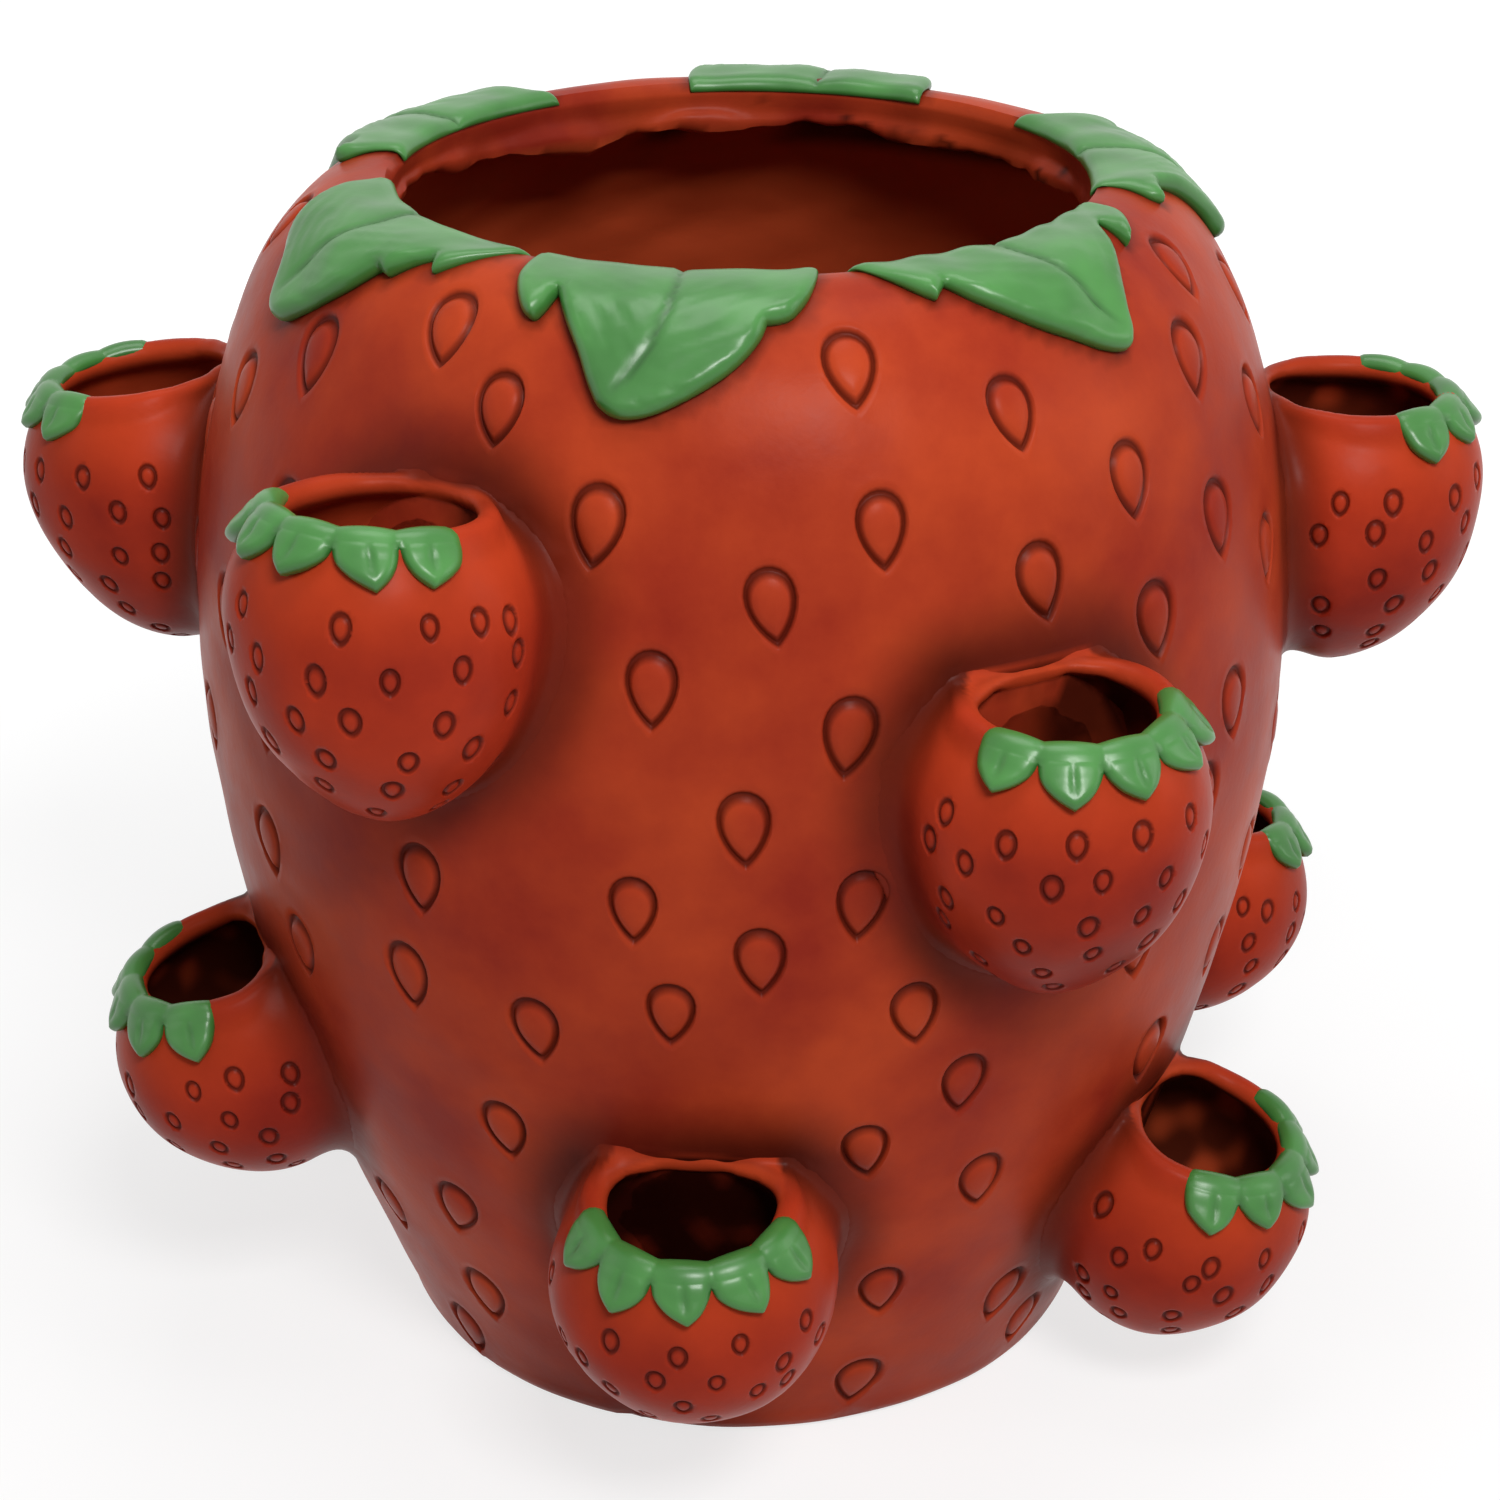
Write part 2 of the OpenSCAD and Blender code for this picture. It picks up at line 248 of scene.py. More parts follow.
def smooth_min(a, b, reach):
    """The smaller of two distances, rounded off where they differ by less than a reach."""
    gap = np.clip(1 - np.abs(a - b) / reach, 0, None)
    return np.minimum(a, b) - gap * gap * reach / 4


def smooth_max(a, b, reach):
    """The larger of two distances, rounded off in the same way."""
    return -smooth_min(-a, -b, reach)


def ramp(x, start, end):
    """A soft change from 0 to 1 while a length goes from a start to an end in millimetres."""
    return smooth_step((x - start * MM) / ((end - start) * MM))


def peak(x, width):
    """A soft peak of 1 where a length is 0, that fades over a width in millimetres."""
    return np.exp(-(x / (width * MM)) ** 2)


def bumps(points, size, seed):
    """Soft bumps of about the given size, between about -1 and 1, the same on every run."""
    waves = 9
    rng = np.random.default_rng(seed)
    total = np.zeros(len(points))
    for _ in range(waves):
        direction = unit(rng.normal(size=3)) * (2 * math.pi / size / rng.uniform(0.7, 1.6))
        total += np.sin(points @ direction + rng.uniform(0, 2 * math.pi))
    return total / math.sqrt(waves)


class Profile:
    """A curve in radius and height, read by the run along it."""

    # Half of the span over which a direction is read
    SIGHT = 0.4 * MM

    def __init__(self, points, start=0.0):
        self.points = np.asarray(points, float)
        steps = np.linalg.norm(np.diff(self.points, axis=0), axis=1)
        self.run = start + np.concatenate([[0.0], np.cumsum(steps)])

    def at(self, run):
        """Radius and height at a run along the curve."""
        return np.stack([np.interp(run, self.run, self.points[:, i]) for i in (0, 1)], axis=-1)

    def normal(self, run):
        """Towards the left of the run, which is outwards on a curve that runs down."""
        along = unit(self.at(run + self.SIGHT) - self.at(run - self.SIGHT))
        return np.stack([-along[..., 1], along[..., 0]], axis=-1)

    def lifted(self, run, lift):
        """Radius and height at a distance above the curve."""
        return self.at(run) + self.normal(run) * np.asarray(lift)[..., None]


def outline_distance(points, outline):
    """Signed distance from flat points to a closed outline, negative inside."""
    best = np.full(len(points), np.inf)
    inside = np.zeros(len(points), bool)
    for start, end in zip(outline, np.roll(outline, -1, axis=0)):
        side = end - start
        rel = points - start
        t = np.clip(rel @ side / max(side @ side, 1e-18), 0, 1)
        best = np.minimum(best, ((rel - t[:, None] * side) ** 2).sum(axis=1))
        if start[1] != end[1]:
            crosses = (start[1] > points[:, 1]) != (end[1] > points[:, 1])
            inside ^= crosses & (rel[:, 0] < side[0] * rel[:, 1] / side[1])
    return np.sqrt(best) * np.where(inside, -1, 1)


class Turned:
    """Signed distance to a turned solid, read from a grid over radius and height."""

    # Spacing of the grid, and how far it reaches past the solid
    STEP = 0.8 * MM
    MARGIN = 24 * MM

    def __init__(self, half_outline):
        half = np.asarray(half_outline, float)
        outline = np.concatenate([half, half[::-1] * [-1, 1]])
        self.low = np.array([0.0, half[:, 1].min() - self.MARGIN])
        high = half.max(axis=0) + self.MARGIN
        self.shape = np.ceil((high - self.low) / self.STEP).astype(int) + 2
        points = self.low + all_cells(self.shape).reshape(-1, 2) * self.STEP
        self.table = outline_distance(points, outline).reshape(self.shape)

    def __call__(self, radius, height):
        at = (np.stack([radius, height], axis=-1) - self.low) / self.STEP
        near = np.clip(at, 0, self.shape - 1.001)
        beyond = np.linalg.norm(at - near, axis=-1) * self.STEP
        cell = near.astype(int)
        u, v = (near - cell).T
        i, j = cell.T
        table = self.table
        return beyond + ((table[i, j] * (1 - u) + table[i + 1, j] * u) * (1 - v)
                         + (table[i, j + 1] * (1 - u) + table[i + 1, j + 1] * u) * v)


def all_cells(counts):
    """The indices of every cell of a grid."""
    return np.stack(np.meshgrid(*[np.arange(n) for n in counts], indexing="ij"), axis=-1)


def grid_values(field, low, counts, step):
    """A field's values over a grid. They are worked out on a grid four times as coarse, and
    again at each point that this shows to be close to the surface."""
    coarse = all_cells((counts + 3) // 4 + 1)
    values = field(low + 4 * step * coarse.reshape(-1, 3)).reshape(coarse.shape[:3])
    for axis in range(3):
        values = np.repeat(values, 4, axis=axis)
    values = values[2:counts[0] + 2, 2:counts[1] + 2, 2:counts[2] + 2].copy()
    near = np.argwhere(np.abs(values) < 5.2 * step)
    values[tuple(near.T)] = field(low + step * near)
    return values


def surface_net(field, low, high, step):
    """A closed mesh round the region where a field is negative, in squares of about a step."""
    counts = np.ceil((high - low) / step).astype(int) + 1
    values = grid_values(field, low, counts, step)
    cells = counts - 1
    total = np.zeros((cells.prod(), 3))
    hits = np.zeros(cells.prod())
    squares = []
    for axis in range(3):
        others = [a for a in range(3) if a != axis]
        first = values[tuple(slice(0, -1) if a == axis else slice(None) for a in range(3))]
        second = values[tuple(slice(1, None) if a == axis else slice(None) for a in range(3))]
        edges = np.argwhere((first < 0) != (second < 0))
        a, b = first[tuple(edges.T)], second[tuple(edges.T)]
        spot = edges.astype(float)
        spot[:, axis] += a / (a - b)
        corners = []
        whole = np.ones(len(edges), bool)
        for back in ((0, 0), (1, 0), (1, 1), (0, 1)):
            cell = edges.copy()
            cell[:, others[0]] -= back[0]
            cell[:, others[1]] -= back[1]
            good = ((cell >= 0) & (cell < cells)).all(axis=1)
            whole &= good
            index = np.ravel_multi_index(np.clip(cell, 0, cells - 1).T, cells)
            np.add.at(total, index[good], spot[good])
            np.add.at(hits, index[good], 1)
            corners.append(index)
        square = np.stack(corners, axis=1)[whole]
        flip = (a < 0) != (axis == 1)
        square[flip[whole]] = square[flip[whole]][:, ::-1]
        squares.append(square)
    squares = np.concatenate(squares)
    used, squares = np.unique(squares, return_inverse=True)
    points = low + step * total[used] / hits[used][:, None]
    return settle(points, field, step), squares.reshape(-1, 4)


def slope(field, points):
    """Direction in which a field grows, and how fast."""
    reach = 0.1 * MM
    grown = []
    for axis in range(3):
        shift = np.zeros(3)
        shift[axis] = reach
        grown.append(field(points + shift) - field(points - shift))
    return np.stack(grown, axis=1) / (2 * reach)


def settle(points, field, step, rounds=2):
    """Moves points onto a field's surface, by less than half a step a round."""
    for _ in range(rounds):
        value, grown = field(points), slope(field, points)
        move = -value / np.maximum((grown ** 2).sum(axis=1), 0.2)
        points = points + grown * np.clip(move, -step / 2, step / 2)[:, None]
    return points


def spline(points, spacing):
    """A closed smooth outline through chosen points, with sharp corners where they say so."""
    spots = np.array([p[:2] for p in points], float)
    sharp = [bool(p[2]) for p in points]
    count = len(points)
    outline = []
    for i in range(count):
        a, b = spots[i], spots[(i + 1) % count]
        before = a if sharp[i] else spots[i - 1]
        after = b if sharp[(i + 1) % count] else spots[(i + 2) % count]
        steps = max(int(round(np.linalg.norm(b - a) / spacing)), 1)
        for t in np.arange(steps) / steps:
            pull_a, pull_b = (b - before) / 2, (after - a) / 2
            outline.append(a * (2 * t ** 3 - 3 * t ** 2 + 1) + pull_a * (t ** 3 - 2 * t ** 2 + t)
                           + b * (3 * t ** 2 - 2 * t ** 3) + pull_b * (t ** 3 - t ** 2))
    return np.array(outline)


def triangulate(points, edges=(), inside_only=False):
    """Delaunay triangles over flat points. Returns the triangles as indices into them."""
    kind = 1 if inside_only else 0
    flat = [Vector((float(x), float(y))) for x, y in points]
    _, _, faces, origins, _, _ = delaunay_2d_cdt(flat, list(edges), [], kind, 1e-7)
    first = np.array([o[0] if o else -1 for o in origins])
    triangles = np.array([f for f in faces if len(f) == 3])
    triangles = first[triangles]
    return triangles[(triangles >= 0).all(axis=1)]


def blister(outline, spacing, edge):
    """Flat points inside an outline, denser at its edge, with their triangles and depths."""
    count = len(outline)
    towards = unit(np.roll(outline, -1, axis=0) - np.roll(outline, 1, axis=0))
    area = np.cross(outline, np.roll(outline, -1, axis=0)).sum()
    inward = np.stack([-towards[:, 1], towards[:, 0]], axis=1) * np.sign(area)
    layers = [outline]
    for share in (0.08, 0.22, 0.42, 0.7, 1.0):
        ring = outline + inward * edge * share
        depth = -outline_distance(ring, outline)
        layers.append(ring[depth > edge * share * 0.93])
    low, high = outline.min(axis=0), outline.max(axis=0)
    rows = []
    for i, y in enumerate(np.arange(low[1], high[1], spacing * 0.87)):
        x = np.arange(low[0], high[0], spacing) + spacing / 2 * (i % 2)
        rows.append(np.column_stack([x, np.full(len(x), y)]))
    rows = np.concatenate(rows)
    layers.append(rows[-outline_distance(rows, outline) > edge + spacing * 0.5])
    points = np.concatenate(layers)
    ring_edges = [(i, (i + 1) % count) for i in range(count)]
    triangles = triangulate(points / MM, ring_edges, inside_only=True)
    depth = np.maximum(-outline_distance(points, outline), 0)
    depth[:count] = 0
    a, b, c = points[triangles].transpose(1, 0, 2)
    turn = np.cross(b - a, c - a)
    triangles[turn < 0] = triangles[turn < 0][:, ::-1]
    return points, triangles, depth


def rolled(depth, edge):
    """How far a rounded edge has risen, from 0 to 1, at a depth inside the outline."""
    return np.sqrt(1 - (1 - np.clip(depth / edge, 0, 1)) ** 2)


def shell_of(triangles, count, top, under):
    """Closes an upper and a lower sheet that share the first count points."""
    lower = np.arange(len(top))
    lower[count:] = np.arange(len(top), 2 * len(top) - count)
    faces = np.concatenate([triangles, lower[triangles][:, ::-1]])
    return np.concatenate([top, under[count:]]), faces


def new_piece(name, points, faces, materials, node=None):
    """A mesh object, which rides on the planter and stands for a node of the frame when a node is
    given.
    """
    mesh = bpy.data.meshes.new(name)
    faces = faces if isinstance(faces, list) else faces.tolist()
    mesh.from_pydata(np.asarray(points).tolist(), [], faces)
    mesh.validate()
    piece = add_object(name, mesh)
    for material in materials:
        mesh.materials.append(material)
    if node:
        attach(piece, "root")
        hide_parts(node)
    return piece


def carve(piece, points, faces):
    """Cuts a closed mesh out of a piece."""
    cutter = new_piece(piece.name + "_cutter", points, faces, [])
    modifier = piece.modifiers.new("carve", "BOOLEAN")
    modifier.operation = "DIFFERENCE"
    modifier.solver = "MANIFOLD"
    modifier.object = cutter
    depsgraph = bpy.context.evaluated_depsgraph_get()
    carved = bpy.data.meshes.new_from_object(piece.evaluated_get(depsgraph))
    old = piece.data
    before = len(old.polygons)
    piece.modifiers.clear()
    piece.data = carved
    bpy.data.meshes.remove(old)
    spare = cutter.data
    bpy.data.objects.remove(cutter)
    bpy.data.meshes.remove(spare)
    if len(carved.polygons) == before or len(carved.polygons) <= before / 2:
        raise RuntimeError(f"carving {piece.name} left {len(carved.polygons)} faces of {before}")


def places(piece):
    """The piece's points as an array."""
    flat = np.empty(len(piece.data.vertices) * 3)
    piece.data.vertices.foreach_get("co", flat)
    return flat.reshape(-1, 3)


def mark(piece, **values):
    """Keeps a number for each point of a piece, for its material to read."""
    for name, value in values.items():
        layer = piece.data.attributes.new(name, "FLOAT", "POINT")
        layer.data.foreach_set("value", np.ascontiguousarray(value, np.float32))


def finish_shading(piece, sharp):
    """Smooth shading that keeps edges sharper than an angle in degrees."""
    piece.data.shade_smooth()
    piece.data.set_sharp_from_angle(angle=math.radians(sharp))


def joined(parts):
    """One mesh of several (points, faces)."""
    points, faces, first = [], [], 0
    for some, its_faces in parts:
        points.append(some)
        faces.append(its_faces + first)
        first += len(some)
    return np.concatenate(points), np.concatenate(faces)


def pot_skin(pot):
    """The pot's skin from the throat over the rim to the foot's edge, with run 0 at the rim."""
    neck = pot.mouth + pot.rim_round
    quarter = np.linspace(0, math.pi / 2, 60)
    throat = [(pot.mouth, pot.height - pot.wall)]
    edge = [(neck - pot.rim_round * math.cos(q), pot.height - pot.rim_round * (1 - math.sin(q)))
            for q in quarter]
    power = 2 / pot.shoulder
    shoulder = [(neck + (pot.belly - neck) * max(math.cos(q), 0) ** power,
                 pot.belly_height + (pot.height - pot.belly_height) * math.sin(q) ** power)
                for q in quarter[::-1]]
    side = [(side_radius(pot, z), z)
            for z in np.linspace(pot.belly_height, pot.foot_round, 90)[1:]]
    centre = side_radius(pot, pot.foot_round) - pot.foot_round
    foot = [(centre + pot.foot_round * math.cos(q), pot.foot_round * (1 - math.sin(q)))
            for q in quarter[1::6]]
    start = Profile(throat + edge).run[-1]
    return Profile(throat + edge + shoulder[1:] + side + foot, -start)


def side_radius(pot, z):
    """The skin's radius at a height below the belly."""
    return pot.foot + (pot.belly - pot.foot) * math.sin(math.pi / 2 * z / pot.belly_height)


def pot_field(skin):
    """Signed distance to the pot with its mouth filled in."""
    outer = skin.points[skin.run >= 0]
    return Turned(np.concatenate([[[0, outer[0, 1]]], outer, [[0, outer[-1, 1]]]]))


def around(radius, height, azimuth):
    """Points at a radius, a height and an azimuth."""
    return np.stack([radius * np.sin(azimuth), -radius * np.cos(azimuth), height], axis=-1)


def over_skin(skin, azimuth, across, run, lift):
    """Points over the pot's skin, at a distance across, a run down from the rim and a lift."""
    spot = skin.lifted(run, lift)
    turn = azimuth + across / skin.at(run)[..., 0]
    return around(spot[..., 0], spot[..., 1], turn)


def berry(pockets, top, widest, depth):
    """Half-outline of a berry from just below its mouth to its tip."""
    lip = pockets.wall / 2
    quarter = np.linspace(0, math.pi / 2, 26)
    top_angle = math.acos(top / widest)
    rise = (pockets.widest - lip) / math.sin(top_angle)
    shoulder = [(widest * math.cos(a), rise * math.sin(a) - pockets.widest)
                for a in np.linspace(top_angle, 0, 26)[:-1]]
    tip = [(widest * max(math.cos(q), 0) ** (2 * pockets.tip),
            -pockets.widest - (depth - pockets.widest) * math.sin(q)) for q in quarter]
    return shoulder + tip


def berry_skin(pockets, depth):
    """A pocket's skin from its mouth over the lip, with run 0 on top, down to its tip."""
    lip = pockets.wall / 2
    arc = [(pockets.mouth + lip + lip * math.sin(q), -lip + lip * math.cos(q))
           for q in np.linspace(-math.pi / 2, math.pi / 2, 19)[:-1]]
    sharp = Profile(arc + berry(pockets, pockets.mouth + pockets.wall, pockets.belly, depth),
                    -lip * math.pi / 2)
    runs = np.linspace(sharp.run[0], sharp.run[-1], 260)
    soft = sum(sharp.at(np.clip(runs + shift, 0, sharp.run[-1]))
               for shift in np.linspace(-4 * MM, 4 * MM, 9)) / 9
    share = ramp(runs, 0, 4) * ramp(sharp.run[-1] - runs, 0, 9)
    blend = sharp.at(runs) * (1 - share[:, None]) + soft * share[:, None]
    return Profile(blend, sharp.run[0])


class Berry:
    """The turned shape of a pocket of a given length, with its lip and its room."""

    # Thickness of the tip as a share of the wall's, how far the room is carried on over the
    # mouth, and how much wider it is there
    TIP_WALL = 1.6
    RISE = 10 * MM
    FLARE = 0.6 * MM

    def __init__(self, pockets, depth):
        mouth = pockets.mouth
        self.depth = depth
        self.skin = berry_skin(pockets, depth)
        self.outer = Turned(np.concatenate([[[0, 0]], self.skin.points[self.skin.run >= 0]]))
        inner = berry(pockets, mouth, pockets.belly - pockets.wall,
                      depth - self.TIP_WALL * pockets.wall)
        self.room = Turned([(0, self.RISE), (mouth + self.FLARE, self.RISE),
                            (mouth + self.FLARE / 4, 0.0)] + inner)
        self.inner = np.array([spot for spot in inner if spot[1] > -pockets.widest])


class Pocket:
    """A pocket's place on the pot and the fields that shape it, in its own frame: the
    mouth's centre at the origin, X across, Y into the pot and Z out of the mouth."""

    # Share of the filler's reach that is left at the mouth, and share that lies on the pocket
    TOP_REACH = 0.32
    SEAM = 0.45
    # How far an upper pocket's window starts below the place where its room meets the pot
    WINDOW_GAP = 1 * MM
    # How deep the pocket's wall reaches into the pot's, and how far it dips under its filler
    FLANGE = 4.5 * MM
    SKIRT = 4 * MM
    # How steeply the pocket's share of the filler dips under the pot's
    DIP = 0.14
    # How far the room may reach past the lip's ring, as a share of the depth below it
    NECK = 0.8
    # Reach of the soft edges between the room and the wall, and between the lip and the wall
    # at the mouth's outer half and at its back
    ROOM_ROUND = 3.5 * MM
    LIP_ROUND = 6 * MM
    BACK_ROUND = 2.5 * MM
    # Gap between the window's edge in the pocket's wall and in the pot's
    WINDOW_PLAY = 0.3 * MM
    # All of the pocket and its filler lies within this distance of the mouth's centre
    NEAR = 130 * MM

    def __init__(self, name, pot, pockets, skin, solid, berries, number):
        azimuth, height, stand, lean, tilt, upper = POCKETS[name]
        self.number, self.pot, self.pockets = number, pot, pockets
        self.azimuth, self.lean = math.radians(azimuth), math.radians(lean)
        self.tilt = math.tan(math.radians(tilt))
        self.shape = berries[upper]
        self.skin = self.shape.skin
        self.depth = self.shape.depth
        self.solid = solid
        mouth_z = height * pot.height
        down = skin.run > 0
        order = np.argsort(skin.points[down][:, 1])
        radius = np.interp(mouth_z, skin.points[down][order, 1], skin.points[down][order, 0])
        self.stand = stand * POCKET_WIDTH
        self.upper = upper
        self.rise = pockets.back_rise if upper else pockets.lower_rise
        # the lip's middle runs in a ring, which is flattened at the back to end at the skin
        self.ring = pockets.mouth + pockets.wall / 2
        self.ring_back = min(self.ring, self.stand + 1 * MM)
        self.window_drop = pockets.window
        if upper:
            meeting = np.interp(self.stand, self.shape.inner[:, 0], -self.shape.inner[:, 1])
            self.window_drop += max(meeting + self.WINDOW_GAP, pockets.far_wall)
        out = np.array([math.sin(self.azimuth), -math.cos(self.azimuth), 0])
        up = np.array([0, 0, 1.0])
        self.origin = out * (radius + self.stand) + up * mouth_z
        side = np.array([math.cos(self.azimuth), math.sin(self.azimuth), 0])
        into = -out * math.cos(self.lean) + up * math.sin(self.lean)
        top = out * math.sin(self.lean) + up * math.cos(self.lean)
        self.axes = np.stack([side, into, top], axis=1)

    def near(self, points):
        """Which points of the pot may lie on the pocket or on its filler."""
        return np.linalg.norm(points - self.origin, axis=1) < self.NEAR

    def world(self, points):
        """Places in the frame of points in the pocket's own frame."""
        return self.origin + points @ self.axes.T

    def local(self, points):
        """Places in the pocket's own frame of points in the frame."""
        return (points - self.origin) @ self.axes

    def at_back(self, points):
        """0 over the outer half of the mouth, and 1 from where its ring meets the pot."""
        return smooth_step(points[:, 1] / self.ring_back)

    def tilted(self, points, way=1):
        """Tilts the berry's mouth and lifts its back, or takes both back with a way of -1."""
        lift = self.tilt * points[:, 1] * smooth_step(1 + points[:, 2] / (self.depth * 0.8))
        lift = lift + self.rise * self.at_back(points) * ramp(points[:, 2], -24, 0)
        return points + np.outer(way * lift, [0, 0, 1])

    def turned(self, points, field):
        """A turned field's values, with the mouth's tilt and its lifted back."""
        points = self.tilted(points, -1)
        return field(np.hypot(points[:, 0], points[:, 1]), points[:, 2])

    def reach(self, points):
        """How far the filler between the pocket and the pot reaches."""
        grown = ramp(points[:, 2], 4, -20)
        return self.pockets.fillet * (self.TOP_REACH + (1 - self.TOP_REACH) * grown)

    def filled(self, points):
        """Signed distance to the pocket and the pot with the filler between them."""
        return smooth_min(self.pot_skin(points), self.berry(points), self.reach(points))

    def pot_skin(self, points):
        """Signed distance to the pot's uneven skin."""
        spots = self.world(points)
        plain = self.solid(np.hypot(spots[:, 0], spots[:, 1]), spots[:, 2])
        return plain - pot_bumps(self.pot, spots)

    def berry(self, points):
        """Signed distance to the pocket's uneven skin."""
        uneven = self.pockets.uneven * bumps(points, 34 * MM, 40 + self.number)
        return self.turned(points, self.shape.outer) - uneven

    def hollow(self, points):
        """Signed distance to the pocket's uneven room."""
        uneven = self.pockets.uneven * bumps(points, 26 * MM, 70 + self.number)
        return self.turned(points, self.shape.room) - uneven

    def opening(self, points):
        """The raw window through the pot's wall."""
        across = np.hypot(points[:, 0], points[:, 2] + self.window_drop)
        reach = self.stand + 4 * self.pot.wall
        window = np.maximum(across - self.pockets.window,
                            np.maximum(points[:, 1] - reach, -points[:, 1]))
        window = window + 0.35 * MM * bumps(points, 4 * MM, 5)
        return window + 1.1 * MM * bumps(points, 13 * MM, 6 + self.number)

    def arch(self, points):
        """Distance outside the low arch that the lifted lip makes over the mouth. All that lies
        below the mouth is well inside."""
        high = points[:, 2] * self.pockets.mouth / (self.rise + 2 * MM)
        away = np.hypot(points[:, 0], high) - self.pockets.mouth
        return np.where(points[:, 2] > 0, away, -1.0)

    def shadowed_inside(self, points):
        """How much near-black painted shade lies on the raw resin inside: all over in a lower
        pocket, at one side in an upper one.
        """
        share = 0.15 + 0.75 * ramp(points[:, 0], -4, 8) if self.upper else 0.93
        return share * smooth_step(1.0 + 0.55 * bumps(points, 14 * MM, 90))

    def off_ring(self, points):
        """Distance across from the mouth's ring, which is drawn in where it meets the pot."""
        stretch = np.where(points[:, 1] > 0, self.ring / self.ring_back, 1)
        return np.hypot(points[:, 0], points[:, 1] * stretch) - self.ring

    def lip(self, points):
        """The rolled lip, which runs round the mouth and over the pot's skin at its back, and
        the height over its middle."""
        thin = self.pockets.wall / 2
        back = self.at_back(points)
        squeeze = 1 - back * (1 - self.ring_back / self.ring)
        height = self.tilted(points, -1)[:, 2] + thin
        rough = 0.35 * MM * back * bumps(points, 9 * MM, 60 + self.number)
        radius = thin + (self.pockets.back_lip - thin) * back + rough
        return np.hypot(self.off_ring(points) * squeeze, height) - radius, height

    def wall(self, points):
        """The pocket with its share of the filler, which dips under the pot's share."""
        pot, outside, reach = self.pot_skin(points), self.berry(points), self.reach(points)
        past = outside - self.SEAM * reach
        solid = smooth_min(pot, outside, reach) + self.DIP * np.maximum(past, 0)
        roll, height = self.lip(points)
        neck = self.off_ring(points) + self.NECK * np.minimum(height, 0)
        room = np.maximum(self.hollow(points), -(pot + 0.6 * MM))
        solid = smooth_max(solid, -np.maximum(room, neck), self.ROOM_ROUND)
        solid = np.maximum(solid, past - self.SKIRT)
        soft = self.LIP_ROUND + (self.BACK_ROUND - self.LIP_ROUND) * self.at_back(points)
        solid = smooth_min(solid, roll, soft)
        solid = np.maximum(solid, -(pot + self.FLANGE))
        window = np.maximum(self.opening(points), pot + 1 * MM)
        return np.maximum(solid, self.WINDOW_PLAY - window)


def pot_bumps(pot, points):
    """How far the pot's hand-smoothed skin strays outwards."""
    return pot.uneven * (0.7 * bumps(points, 70 * MM, 11) + 0.3 * bumps(points, 24 * MM, 12))


def teardrop(count, point):
    """A drop with its point down, as shares across and down from its middle."""
    turn = np.linspace(0, 2 * math.pi, count, endpoint=False)
    across = np.sin(turn) * np.sin(turn / 2) ** point
    return np.stack([across / np.abs(across).max(), np.cos(turn)], axis=1)


# Rings of an incised seed: share of its outline, and lift as a share of the groove's depth.
# The centre lifts by a share too.
SEED_RINGS = [(0.4, 0.36), (0.64, 0.1), (0.75, -0.34), (0.83, -0.86), (0.885, -1.0),
              (0.94, -0.8), (0.995, -0.2), (1.06, 0.1), (1.24, 0.0)]
SEED_CENTRE = 0.42
SEED_POINTS = 26


def seed_spots(skin, pockets, seeds):
    """Run, azimuth, place, tilt and scale of the seeds on the pot, clear of the pockets and of
    each other."""
    rng = np.random.default_rng(3)
    kept = []
    for run, azimuth, count in SEED_ROWS:
        for i in range(count):
            spot = np.array([run * MM + rng.normal() * 1.6 * MM,
                             math.radians(azimuth + 360 / count * i + rng.normal() * 1.2)])
            point = over_skin(skin, spot[1], 0.0, spot[0], 0.0)
            if near_pocket(pockets, point, seeds) < 7 * MM:
                continue
            if all(np.linalg.norm(point - other[2]) > 1.25 * seeds.length for other in kept):
                kept.append((spot[0], spot[1], point, rng.normal() * 0.08, rng.uniform(0.93, 1.07)))
    return kept


def wrapped(angle):
    """The same direction as an angle between minus and plus half a turn."""
    return (angle + math.pi) % (2 * math.pi) - math.pi


def near_berries(pockets, skin, runs, turns):
    """Which places on the skin lie on the filler round a pocket."""
    points = over_skin(skin, turns, 0.0, runs, np.zeros(len(runs)))
    gap = np.full(len(points), 1.0)
    for pocket in pockets:
        near = pocket.near(points)
        spots = pocket.local(points[near])
        middle = pocket.turned(spots, pocket.shape.outer) - 0.4 * pocket.reach(spots)
        gap[near] = np.minimum(gap[near], np.abs(middle))
    return gap < 8 * MM


def near_pocket(pockets, point, seeds):
    """Distance from a seed's outline to the nearest pocket."""
    corners = point + np.array([[0, 0, 0], [0, 0, 0.45], [0, 0, -0.5]]) * seeds.length
    gaps = [pocket.turned(pocket.local(corners), pocket.shape.outer) for pocket in pockets]
    gaps = [np.minimum(gap[0] - seeds.width / 2, gap[1:].min()) for gap in gaps]
    return min(gaps)


def flat_of(points):
    """Radius from the pot's axis, and height."""
    return np.hypot(points[:, 0], points[:, 1]), points[:, 2]


def with_filler(pocket, outer):
    """Lifts the pot's skin onto the filler round a pocket, except where the pocket holds it."""
    near = np.flatnonzero(pocket.near(outer))
    spots = pocket.local(outer[near])
    outside = pocket.berry(spots)
    reach = pocket.reach(spots)
    some = outside < reach
    near, spots, outside, reach = near[some], spots[some], outside[some], reach[some]
    lifted = settle(spots, pocket.filled, 2 * MM, rounds=4)
    share = smooth_step(1 + (outside - pocket.SEAM * reach) / (0.25 * reach))
    outer = outer.copy()
    outer[near] = pocket.world(spots + (lifted - spots) * share[:, None])
    return outer


